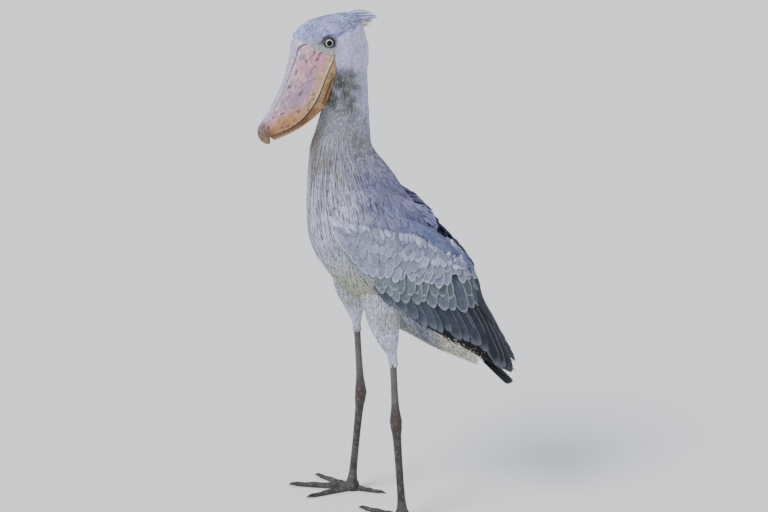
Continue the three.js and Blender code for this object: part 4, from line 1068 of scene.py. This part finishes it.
SHIN = 4.9  # the station past which the feathers run on straight, down the shank
for leg in LEGS.values():
    stations, hand = leg["thigh"], leg["hand"]
    xs, turns = [], []
    for x in np.arange(0.6, 5.2, 0.075):
        front, wide = spline(stations, x)[3:]
        number = max(10, int(2 * math.pi * (front + wide) / 2 / 3.2))
        xs.append(np.full(number, x))
        turns.append((np.arange(number) + rng.random()) * 360 / number)
    xs, turns = np.concatenate(xs), np.concatenate(turns)
    count = len(xs)
    xs = xs + 0.03 * rng.normal(size=count)
    t = stops_for(4)
    length = 21 * (0.7 + 0.6 * rng.random(count)) * (1 - 0.3 * smooth(xs, 3.5, 5))
    stride = spline(stations[:, :3], xs + 0.1) - spline(stations[:, :3], xs - 0.1)
    stride = np.linalg.norm(stride, axis=-1) / 0.2
    path = xs[:, None] + (length / stride)[:, None] * t
    path = np.minimum(path, (SHIN + 0.05 + 1.1 * rng.random(count) ** 1.3)[:, None])
    angle = np.radians(turns)[:, None] + 0.14 * rng.normal(size=count)[:, None] * t
    on_thigh = np.minimum(path, SHIN)
    row = spline(stations, on_thigh)
    span = spline(stations, on_thigh + 0.1)[..., :3] - spline(stations, on_thigh - 0.1)[..., :3]
    row = row + np.concatenate([span * 5, 0 * span[..., :2]], -1) * np.maximum(0, path - SHIN)[..., None]
    run = unit(place(*np.moveaxis(span, -1, 0)))
    wide = unit(np.array([1.0, 0, 0]) - run[..., :1] * run)
    deep = np.cross(wide, run)
    height = np.interp(t, [0, 0.5, 1], (-3.4, -1.0, -0.1)) + 0.3 * rng.normal(size=count)[:, None] * t
    height = height + 1.1 * smooth(path, 4.3, 5.0)
    middle = place(row[..., 0], row[..., 1], row[..., 2])
    cos, sin = np.cos(angle), np.sin(angle)
    outward = deep * cos[..., None] + wide * sin[..., None]
    centre = middle + deep * ((row[..., 3] + height) * cos)[..., None]
    centre = centre + wide * ((row[..., 4] + height) * sin)[..., None]
    side, lift = directions(centre, centre + outward * 5)
    speck, patch = speckle(centre[:, 0], 6, 5), speckle(centre[:, 0], 40, 12)
    tint = layered(TONE, TONE["thigh"], [
        ("streak", 0.45 * smooth(speck, 0.55, 0.72)),
        ("belly", 0.6 * smooth(patch, 0.45, 0.65) + 0.3 * smooth(xs, 2, 0.6) * (patch < 0.5)),
    ])
    tint = tint * (0.88 + 0.24 * rng.random(count))[:, None]
    half = 2.3 * (0.8 + 0.4 * rng.random(count))
    fringe = mix(tint, TONE["fringe"], np.full(count, 0.2))
    uv = cell(LEG_CELL[hand], xs / 5.3, (turns % 360) / 360)
    body_coat.add(centre, side, lift, half, tint, fringe, uv, "plume", 3, thick=0.12, camber=0.12, stops=t,
                  ragged=0.1, shade=0.1)

# Bill


def horn_piece(name, rings, tints):
    points, faces = tube(rings)
    obj = mesh_object(name, points, faces)
    set_colours(obj, np.concatenate([tints.reshape(-1, 3), tints[:1].mean(1), tints[-1:].mean(1)]))
    return obj


def both_sides(half, sign=1):
    """Values round a whole ring from those of its left half."""
    return np.concatenate([half, sign * half[:, -2:0:-1]], 1)


def bill_rings(row, half_height, half_out, half_v):
    """Rings along the bill, their points, places ahead and round, and the points drawn out along it."""
    height, out = both_sides(half_height), both_sides(half_out, -1)
    ahead = np.repeat(row[:, :1], out.shape[1], 1)
    rings = head_point(ahead, height, out)
    places = np.broadcast_to(both_sides(half_v[None]), ahead.shape).ravel()
    drawn = [np.stack([ahead.ravel() / by, height.ravel(), out.ravel()], -1) for by in (3.0, 9.0)]
    return rings, rings.reshape(-1, 3), ahead.ravel(), places, drawn


row = spline(BILL, np.linspace(0, len(BILL) - 1, 240))
v = np.concatenate([np.linspace(0, 0.18, 8), np.linspace(0.195, 0.3, 12), np.linspace(0.315, 0.95, 30),
                    np.linspace(0.96, 1, 6)])
height, out = upper_outline(row, v)
under = np.linspace(1, 0, 10)[1:]
palate = np.repeat(height[:, -1:] + 1.0, len(under) - 1, 1)
rings, points, aa, va, (drawn, longer) = bill_rings(
    row, np.concatenate([height, height[:, -1:], palate], 1), np.concatenate([out, out[:, -1:] * under], 1),
    np.concatenate([v, np.full(len(under), 1.05)]))
coarse, fine, grit = speckle(points, 24, 6), speckle(points, 8, 7), speckle(points, 3.2, 13)
blot, line = speckle(drawn, 6.5, 8), speckle(longer, 2.4, 14)
groove = va - 0.16 * smooth(aa, 140, 20)  # the ridge's strip widens towards the face
panel = smooth(groove, 0.24, 0.3)
distal = smooth(aa, 120, 225)
beside_ridge = np.exp(-((groove - 0.285) / 0.022) ** 2) * smooth(fine, 0.3, 0.5) * smooth(aa, 215, 180)
nostril = np.exp(-((groove - 0.242) / 0.026) ** 2) * smooth(aa, 70, 52) * smooth(aa, 22, 30)
tint = layered(BILL_TONE, BILL_TONE["pink"], [
    ("mauve", 0.85 * panel * smooth(coarse + 0.2 * np.exp(-((aa - 150) / 45) ** 2), 0.48, 0.66)),
    ("blue", 0.6 * panel * smooth(fine, 0.55, 0.7) * np.exp(-((aa - 140) / 50) ** 2) * smooth(va, 0.9, 0.6)),
    ("ochre", 0.85 * smooth(va + 0.28 * distal + 0.25 * (coarse - 0.5), 0.76, 0.98)),
    ("orange", 0.8 * distal * smooth(va + 0.3 * (coarse - 0.5), 0.42, 0.8)),
    # Whitish streaks on the upper part of the side panel: painted highlights.
    ("white", 0.6 * panel * smooth(line, 0.6, 0.72) * smooth(va, 0.75, 0.35)),
    ("spot", 0.75 * panel * smooth(blot, 0.665, 0.73)),
    ("spot", 0.4 * panel * smooth(grit, 0.68, 0.8)),
    ("brown", 0.6 * distal * smooth(blot * 0.6 + fine * 0.4, 0.56, 0.68)),
    ("culmen", smooth(groove, 0.26, 0.2)),
    ("white", 0.5 * smooth(groove, 0.22, 0.12) * smooth(line, 0.5, 0.66)),
    ("white", 0.65 * beside_ridge),
    ("spot", 0.9 * np.exp(-((groove - 0.238) / 0.016) ** 2) * smooth(aa, 240, 205)),
    ("line", nostril),
    ("cream", 0.7 * smooth(va, 0.93, 0.975) * smooth(aa, 150, 110)),
    ("line", 0.75 * smooth(va, 0.955, 0.99) * smooth(aa + 20 * (fine - 0.5), 150, 205)),
    ("line", smooth(va + 0.012 * smooth(aa, 60, 180), 0.982, 0.995)),
    ("brown", 0.75 * smooth(aa + 14 * (fine - 0.5), 226, 252)),
    ("spot", 0.8 * smooth(18.3 + 2.5 * (fine - 0.5), aa - 2.0, aa + 0.5) * smooth(va, 0.2, 0.3)),
])
upper_bill = horn_piece("upper_bill_horn", rings, tint.reshape(rings.shape))

# The nail, blended down the sides of the bill's tip

NAIL_SIDES = 48
x = np.linspace(0, len(HOOK) - 1, 80)
row = spline(HOOK, x)
run2 = unit((spline(HOOK, x + 0.1) - spline(HOOK, x - 0.1))[:, :2])
turn = np.radians(np.linspace(0, 360, NAIL_SIDES, endpoint=False))
share = x[:, None] / (len(HOOK) - 1)
inner = 1 + 3.6 * smooth(share, 0.1, 0.5) * (1 - 0.65 * smooth(share, 0.72, 1.0))
deep = row[:, 3:4] * np.where(np.cos(turn) < 0, inner, 1.0) * np.cos(turn)
ahead, above = row[:, :1] - run2[:, 1:2] * deep, row[:, 1:2] + run2[:, :1] * deep
rings = head_point(ahead, above, row[:, 2:3] * np.sin(turn))
fine = speckle(rings.reshape(-1, 3), 6, 15)
along = np.repeat(x / (len(HOOK) - 1), NAIL_SIDES)
inward = smooth(-np.tile(np.cos(turn), len(x)), 0.3, 0.8)
tint = layered(BILL_TONE, BILL_TONE["hook"], [
    ("tan", 0.75 * smooth(along, 0.2, 0.6) * smooth(fine, 0.3, 0.6)),
    ("spot", 0.6 * smooth(fine, 0.55, 0.7)),
    ("line", 0.8 * inward * smooth(along, 0.2, 0.4) * smooth(along, 0.9, 0.6)),
    ("culmen", 0.6 * smooth(along, 0.35, 0.1)),
])
hook = horn_piece("bill_hook", rings, tint.reshape(rings.shape))

# The lower bill, flat on top

row = spline(BILL, np.linspace(0, len(BILL) - 1, 200))
turn = np.linspace(0, 90, 34)
top, chin, wide = row[:, 2:3] - 0.2, row[:, 3:4], row[:, 4:5] * 0.94
rings, points, aa, va, (drawn, _) = bill_rings(
    row, np.concatenate([np.repeat(top, 8, 1), top + (chin - top) * np.sin(np.radians(turn))], 1),
    np.concatenate([wide * np.linspace(0, 0.97, 8), wide * np.cos(np.radians(turn)) ** 0.8], 1),
    np.concatenate([np.full(8, -0.05), turn / 90]))
blot, fine, coarse = speckle(drawn, 5.5, 9), speckle(points, 6, 16), speckle(points, 22, 17)
long_streak = np.exp(-((va - 0.3 - 0.1 * blot) / 0.08) ** 2) * smooth(aa, 44, 62) * smooth(aa, 130, 95)
tint = layered(BILL_TONE, BILL_TONE["tan"], [
    ("pink", 0.5 * smooth(aa, 60, 20)),
    ("ochre", 0.7 * smooth(coarse, 0.4, 0.65)),
    ("orange", 0.6 * smooth(coarse, 0.55, 0.4)),
    ("streak", 0.95 * long_streak),
    ("streak", 0.7 * smooth(va + 0.3 * (blot - 0.5), 0.42, 0.2) * smooth(aa, 120, 180)),
    ("brown", 0.6 * smooth(blot, 0.6, 0.7)),
    ("spot", 0.5 * smooth(fine, 0.64, 0.74)),
    ("cream", 0.35 * smooth(va, 0.16, 0.05) * smooth(aa, 150, 90)),
    ("line", smooth(va, 0.03, -0.01)),
])
lower_bill = horn_piece("lower_bill_horn", rings, tint.reshape(rings.shape))

# Eyes and lids

eyes, lids = [], []
PUPIL, IRIS = 28.5, 49.0  # degrees from the middle of the eye
LID = dict(radius=12.0, raised=2.0, thick=1.6, brow=1.5, height=4.4, around=96, sides=20)


def eyeball(name, hand):
    gaze = unit(np.array([0.16, 0.0, 1.0]))
    basis_a = unit(np.cross(gaze, [0, 1, 0]))
    basis_b = np.cross(gaze, basis_a)
    polar = np.radians(np.linspace(0.4, 179, 110))[:, None]
    turn = np.radians(np.linspace(0, 360, 80, endpoint=False))[None]
    round_gaze = basis_a * np.cos(turn)[..., None] + basis_b * np.sin(turn)[..., None]
    ray = (gaze * np.cos(polar)[..., None] + round_gaze * np.sin(polar)[..., None]) * EYE["radius"]
    ahead, above, left = EYE["ahead"] + ray[..., 0], EYE["above"] + ray[..., 1], EYE["left"] + ray[..., 2]
    rings = head_point(ahead, above, hand * left)
    degrees = np.degrees(polar) * np.ones_like(turn)
    spokes = np.stack([np.cos(turn) * 9 + 0 * polar, np.sin(turn) * 9 + 0 * polar, 0.12 * degrees], -1)
    fibre = speckle(spokes.reshape(-1, 3), 1.0, 10).reshape(degrees.shape)
    tint = layered(TONE, TONE["pupil"], [
        ("iris", smooth(degrees, PUPIL, PUPIL + 2)),
        ("fibre", 0.75 * smooth(degrees, PUPIL, PUPIL + 3) * smooth(fibre, 0.42, 0.7)),
        ("iris_edge", 0.6 * smooth(degrees, IRIS - 6, IRIS)),
        ("rim", smooth(degrees, IRIS - 1.5, IRIS + 1)),
    ])
    return horn_piece(f"{name}_eyeball", rings, tint)


def lid_ring(name, hand):
    """A wrinkled ring of bare skin round the eye, thick and dark over it."""
    around, sides = LID["around"], LID["sides"]
    turn = np.radians(np.linspace(0, 360, around, endpoint=False))
    tube_turn = np.radians(np.linspace(0, 360, sides, endpoint=False))
    raised = smooth(np.sin(turn - math.radians(12)), 0.1, 0.95)
    thick = LID["thick"] + LID["brow"] * raised
    wrinkle = 1 + 0.07 * np.sin(23 * turn) * np.sin(11 * turn + 1)
    radius = LID["radius"] - LID["raised"] * raised
    reach = radius[:, None] + (thick * wrinkle)[:, None] * np.cos(tube_turn)
    stretch = 1 + 0.14 * np.exp(-((np.degrees(turn)[:, None] - 205) / 30) ** 2)
    behind, over = reach * stretch * np.cos(turn)[:, None], reach * np.sin(turn)[:, None]
    high = EYE["left"] + LID["height"] + 1.6 * raised[:, None] + thick[:, None] * np.sin(tube_turn) * 0.9
    rings = beside_eye(behind, over, hand * high)
    i, j = np.meshgrid(np.arange(around), np.arange(sides), indexing="ij")
    after, beside = (i + 1) % around, (j + 1) % sides
    quads = np.stack([i * sides + j, i * sides + beside, after * sides + beside, after * sides + j], -1)
    quads = quads.reshape(-1, 4)
    if hand == RIGHT:
        quads = quads[:, ::-1]
    lid = mesh_object(f"{name}_lids", rings.reshape(-1, 3), [quads])
    inner = smooth(np.cos(tube_turn), 0.75, 0.1)[None, :] * np.ones((around, 1))
    tint = mix(TONE["lid"], TONE["lid_dark"], np.maximum(inner, 0.75 * raised[:, None]))
    set_colours(lid, tint.reshape(-1, 3))
    return lid


for hand, name in ((LEFT, "left"), (RIGHT, "right")):
    eyes.append(eyeball(name, hand))
    lids.append(lid_ring(name, hand))

# Legs and feet


def joint_row(a, b, t, front, side):
    return [*(a + (b - a) * t), front, side]


def shank_and_tarsus(leg):
    shank, hock, ankle = (np.array(leg[key], float) for key in ("shank", "hock", "ankle"))
    upper = [joint_row(shank, hock, *row) for row in (
        (-0.12, SHANK_RADIUS, SHANK_RADIUS * 0.95), (0.3, SHANK_RADIUS - 0.6, SHANK_RADIUS * 0.88),
        (0.7, SHANK_RADIUS + 0.6, SHANK_RADIUS), (0.88, HOCK_RADIUS * 0.82, HOCK_RADIUS * 0.8),
        (1, HOCK_RADIUS, HOCK_RADIUS * 0.9), (1.04, HOCK_RADIUS * 0.9, HOCK_RADIUS * 0.85))]
    lower = [joint_row(hock, ankle, *row) for row in (
        (-0.02, HOCK_RADIUS * 0.95, HOCK_RADIUS * 0.88), (0.07, HOCK_RADIUS * 0.92, HOCK_RADIUS * 0.86),
        (0.2, 10.4, 9.4), (0.55, 9.2, 8.4), (0.85, 10, 9.6), (0.97, 13, 13), (1.03, 12, 12))]
    return [tube(limb(np.array(upper), 60, 36, (1, 0, 0))), tube(limb(np.array(lower), 90, 36, (1, 0, 0)))]


def foot_pad(forward, hand):
    phi = np.linspace(0.02, np.pi - 0.02, 24)[:, None]
    theta = np.linspace(0, 2 * np.pi, 36, endpoint=False)[None]
    left = FOOT["left"] * hand + FOOT["width"] / 2 * np.sin(phi) * np.cos(theta)
    back = -forward + FOOT["length"] / 2 * np.sin(phi) * np.sin(theta)
    up = np.maximum(0.02, FOOT["middle"] + FOOT["height"] * np.cos(phi) * np.ones_like(theta))
    return tube(np.stack([left, back, up], -1))


def toe_and_claw(name, hand, ankle, toe, out_angle, reach, radius):
    """A toe with swollen joints, as a tube, and its claw as a piece."""
    heading = math.radians(out_angle * hand)
    along = np.array([math.cos(heading), math.sin(heading)])
    rows = []
    for i, share in enumerate(np.linspace(0, 1, 7)):
        r = radius * (1 - 0.38 * share) * (1.08 if i % 2 == 0 else 0.94)
        rows.append([*(ankle[:2] + along * reach * share), r * 0.82, r, r * 1.02])
    across = (math.cos(heading), math.sin(heading), 0)
    end = rows[-1]
    r = end[3] * 0.86
    claw_rows = [[*(np.array(end[:2]) + along * d), up, w, w * 0.8] for d, up, w in (
        (0.2, end[2] + 0.6, r), (CLAW * 0.35, end[2] + 0.9, r * 0.86), (CLAW * 0.7, end[2] - 0.6, r * 0.52),
        (CLAW, end[2] - 3.1, 0.5))]
    points, faces = tube(limb(np.array(claw_rows), 24, 20, across))
    claw = mesh_object(f"{name}_{toe}_claw_horn", points, faces)
    set_colours(claw, np.broadcast_to(TONE["claw"], points.shape))
    claw_objects.append((claw, f"{name}_claw_{toe}"))
    return tube(limb(np.array(rows), 50, 28, across))


def scaled_skin(obj, hock_height):
    """Creases between the scales pressed into a leg's skin, and its colours."""
    p, n = points_of(obj), normals_of(obj)
    stretched = p * np.array([1, 1, 0.75])
    cells = np.array([noise.voronoi(Vector(q) / 3.4)[0][:2] for q in stretched])
    crease = smooth(cells[:, 1] - cells[:, 0], 0.22, 0.0)
    p = p - n * (0.34 * crease * (p[:, 2] > 0.5))[:, None]
    put_points(obj, p)
    up = p[:, 2]
    patch, dust = speckle(p, 30, 11), speckle(p, 9, 18)
    set_colours(obj, layered(TONE, TONE["leg"], [
        ("leg_pale", 0.25 * smooth(patch, 0.45, 0.7)),
        ("leg_pale", 0.45 * smooth(up, hock_height + 18, hock_height + 75)),
        ("hock", 0.75 * np.exp(-((up - hock_height) / 26) ** 2)),
        ("leg_pale", 0.45 * crease + 0.35 * smooth(dust, 0.6, 0.75)),
    ]))


leg_objects, claw_objects = [], []
for name, leg in LEGS.items():
    hand, ankle = leg["hand"], np.array(leg["ankle"], float)
    parts = [*shank_and_tarsus(leg), foot_pad(ankle[0], hand)]
    parts += [toe_and_claw(name, hand, ankle, *toe) for toe in TOES]
    obj = fused(f"{name}_leg_skin", parts, 1.25, 3)
    scaled_skin(obj, leg["hock"][2])
    leg_objects.append(obj)

# Materials


class Look:
    """A material under construction, with short ways to add and join nodes."""

    def __init__(self, name, roughness, specular=0.5, coat=0.0, sheen=0.0):
        self.made = bpy.data.materials.new(name)
        self.made.use_nodes = True
        self.tree = self.made.node_tree
        self.shader = self.tree.nodes["Principled BSDF"]
        self.fill(self.shader, {"Roughness": roughness, "Specular IOR Level": specular, "Coat Weight": coat,
                                "Coat Roughness": 0.06, "Sheen Weight": sheen})
        self.where = self.node("TexCoord", {}, "Object")

    def fill(self, node, inputs):
        """Sets or joins a node's inputs."""
        for socket, value in inputs.items():
            if isinstance(value, bpy.types.NodeSocket):
                self.tree.links.new(value, node.inputs[socket])
            else:
                node.inputs[socket].default_value = value

    def node(self, kind, inputs, output=0, **settings):
        """An output of a new node of a kind, with its settings and inputs."""
        made = self.tree.nodes.new("ShaderNode" + kind)
        for name, value in settings.items():
            setattr(made, name, value)
        self.fill(made, inputs)
        return made.outputs[output]

    def attribute(self, name):
        return self.node("VertexColor", {}, "Color", layer_name=name)

    def math(self, operation, *values):
        return self.node("Math", dict(enumerate(values)), operation=operation)

    def span(self, value, low, high, to_low=0.0, to_high=1.0):
        ends = {"From Min": low, "From Max": high, "To Min": to_low, "To Max": to_high}
        return self.node("MapRange", {**ends, "Value": value}, "Result", interpolation_type="SMOOTHSTEP")

    def scaled(self, colour, amount):
        return self.node("VectorMath", {0: colour, "Scale": amount}, "Vector", operation="SCALE")

    def drawn(self, stretch):
        return self.node("Mapping", {"Vector": self.where, "Scale": stretch}, "Vector")

    def noise(self, scale, detail=5.0, stretch=None):
        source = self.drawn(stretch) if stretch else self.where
        return self.node("TexNoise", {"Scale": scale, "Detail": detail, "Vector": source}, "Fac")

    def cells(self, scale, stretch=(1, 1, 1)):
        inputs = {"Scale": scale, "Vector": self.drawn(stretch)}
        return self.node("TexVoronoi", inputs, "Distance", feature="DISTANCE_TO_EDGE")

    def bump(self, height, strength, distance, **before):
        inputs = {"Strength": strength, "Distance": distance, "Height": height, **before}
        return self.node("Bump", inputs, "Normal")

    def finish(self, colour, normal):
        self.fill(self.shader, {"Base Color": colour, "Normal": normal})
        return self.made


def feather_look(name, roughness, sheen, barbs, barb_depth, fringe_from, shaft):
    """A vane with a pale fringe, a shaft and slanting barbs, from its own map."""
    look = Look(name, roughness, specular=0.25, sheen=sheen)
    vane = look.node("UVMap", {}, "UV", uv_map="Vane")
    across = look.math("ABSOLUTE", look.node("SeparateXYZ", {0: vane}, "X"))
    along = look.node("SeparateXYZ", {0: vane}, "Y")
    frayed = look.math("MULTIPLY_ADD", look.noise(900, 3.0), 0.16, across)
    fringed = look.span(frayed, fringe_from, fringe_from + 0.16)
    edge = look.math("MULTIPLY", fringed, look.span(along, 0.25, 0.6))
    share = look.math("MAXIMUM", edge, look.span(along, 0.9, 0.99))
    both = {0: share, 6: look.attribute("Tint"), 7: look.attribute("Fringe")}
    colour = look.node("Mix", both, 2, data_type="RGBA")
    slant = look.math("MULTIPLY_ADD", across, -0.22, along)
    ripple = look.math("MULTIPLY_ADD", look.noise(260, 3.0), 0.05, slant)
    wave = look.math("SINE", look.math("MULTIPLY", ripple, barbs))
    bright = look.math("MULTIPLY_ADD", wave, 0.06, look.span(look.noise(110, 4.0), 0.3, 0.7, 0.86, 1.12))
    line = look.span(across, 0.0, 0.09, shaft, 1.0)
    colour = look.scaled(colour, look.math("MULTIPLY", bright, line))
    return look.finish(colour, look.bump(wave, barb_depth, 0.0003))


def skin_look(name, roughness, scale, depth, coat=0.0, specular=0.5, variation=0.2, cells=0.0,
              stretch=(1, 1, 1), streaks=0.0):
    """Bare skin or horn: tint, noise, and cells or long streaks where asked for."""
    look = Look(name, roughness, specular=specular, coat=coat)
    bright = look.span(look.noise(scale * 0.35, 6.0), 0.25, 0.75, 1 - variation, 1 + variation)
    normal = look.bump(look.noise(scale, 8.0), depth, 0.0006)
    if cells:
        edge = look.span(look.cells(cells, stretch), 0.0, 0.12)
        bright = look.math("MULTIPLY", bright, look.span(edge, 0.0, 1.0, 1.25, 0.95))
        normal = look.bump(edge, 0.7, 0.0007, Normal=normal)
    if streaks:
        long = look.noise(streaks, 6.0, stretch)
        bright = look.math("MULTIPLY", bright, look.span(long, 0.3, 0.7, 0.82, 1.15))
        normal = look.bump(long, 0.3, 0.0007, Normal=normal)
    return look.finish(look.scaled(look.attribute("Tint"), bright), normal)


plumage = feather_look("plumage", 0.9, 0.12, 110, 0.25, 0.68, 0.85)
flight = feather_look("flight_vanes", 0.7, 0.05, 260, 0.35, 0.8, 0.62)
down = skin_look("down", 0.95, 500, 0.8)
horn = skin_look("horn", 0.45, 260, 0.35, coat=0.15, variation=0.12, streaks=420, stretch=(1, 0.3, 0.3))
eye_look = skin_look("eye_gloss", 0.12, 900, 0.02, coat=0.22, specular=0.1, variation=0.05)
lid_look = skin_look("lid_skin", 0.5, 900, 0.5, cells=900)
leg_look = skin_look("leg_scales", 0.6, 700, 0.4, cells=330, stretch=(1, 1, 0.7))
claw_look = skin_look("claw_horn", 0.4, 500, 0.3, coat=0.3)


def dress(obj, look):
    obj.data.materials.clear()
    obj.data.materials.append(look)
    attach(obj, "root")


dress(skin, down)
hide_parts("torso", "neck", "head", "left_thigh", "right_thigh")
for obj in body_coat.pieces("body_feathers"):
    dress(obj, plumage)
for obj in head_coat.pieces("head_feathers"):
    dress(obj, plumage)
for obj in mantle_coat.pieces("mantle_feathers"):
    dress(obj, flight)
wing_pieces = wing_coat.pieces("wing_feathers")
for obj in wing_pieces:
    dress(obj, flight)
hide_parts("left_wing", "right_wing")
tail_pieces = tail_coat.pieces("tail_feathers")
for obj in tail_pieces:
    dress(obj, flight)
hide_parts("tail")
for obj, node in ((upper_bill, "upper_bill"), (lower_bill, "lower_bill")):
    dress(obj, horn)
    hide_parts(node)
dress(hook, horn)
for obj, name in zip(eyes, ("left", "right")):
    dress(obj, eye_look)
    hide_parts(f"{name}_eye")
for obj in lids:
    dress(obj, lid_look)
for obj, name in zip(leg_objects, LEGS):
    dress(obj, leg_look)
    nodes = [f"{name}_{part}" for part in ("shank", "tarsus", "foot")]
    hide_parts(*nodes, *(f"{name}_toe_{toe[0]}" for toe in TOES))
for obj, node in claw_objects:
    dress(obj, claw_look)
    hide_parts(node)

# Camera, floor and light

AZIMUTH, PITCH, DISTANCE, HEIGHT = 93.0, 13.66, 3250.0, 1430.0
SENSOR, FOCAL_PIXELS, FRAME_PIXELS = 36, 1395, 768
az, pitch = math.radians(AZIMUTH), math.radians(PITCH)
view = Vector((-math.sin(az) * math.cos(pitch), math.cos(az) * math.cos(pitch), -math.sin(pitch)))
camera_data = bpy.data.cameras.new("camera")
camera_data.sensor_width = SENSOR
camera_data.lens = SENSOR * FOCAL_PIXELS / FRAME_PIXELS
camera = bpy.data.objects.new("camera", camera_data)
bpy.context.scene.collection.objects.link(camera)
camera.location = world(np.array([DISTANCE * math.sin(az), -DISTANCE * math.cos(az), HEIGHT]))
camera.rotation_euler = view.to_track_quat("-Z", "Y").to_euler()
bpy.context.scene.camera = camera

FLOOR_SIZE, FLOOR_COLOUR = 160, (0.8, 0.8, 0.79, 1)
SKY, SKY_COLOUR = 0.74, (0.86, 0.9, 1.0, 1)
# Lights: name, where from, width in degrees, strength
SUNS = [("key", (1.7, -1.9, 2.7), 26, 2.9), ("rim", (-2.0, 1.6, 2.6), 40, 0.6)]
bpy.ops.mesh.primitive_plane_add(size=FLOOR_SIZE, location=(0, 0, -0.0005))
floor = bpy.context.object
floor.name = "floor"
floor_look = bpy.data.materials.new("floor")
floor_look.use_nodes = True
floor_look.node_tree.nodes["Principled BSDF"].inputs["Base Color"].default_value = FLOOR_COLOUR
floor_look.node_tree.nodes["Principled BSDF"].inputs["Roughness"].default_value = 0.9
floor.data.materials.append(floor_look)

sky = bpy.data.worlds.new("sky")
sky.use_nodes = True
sky.node_tree.nodes["Background"].inputs["Color"].default_value = SKY_COLOUR
sky.node_tree.nodes["Background"].inputs["Strength"].default_value = SKY
bpy.context.scene.world = sky
for name, source, angle, power in SUNS:
    light_data = bpy.data.lights.new(name, "SUN")
    light_data.angle = math.radians(angle)
    light_data.energy = power
    light = bpy.data.objects.new(name, light_data)
    light.rotation_euler = (-Vector(source)).to_track_quat("-Z", "Y").to_euler()
    bpy.context.scene.collection.objects.link(light)
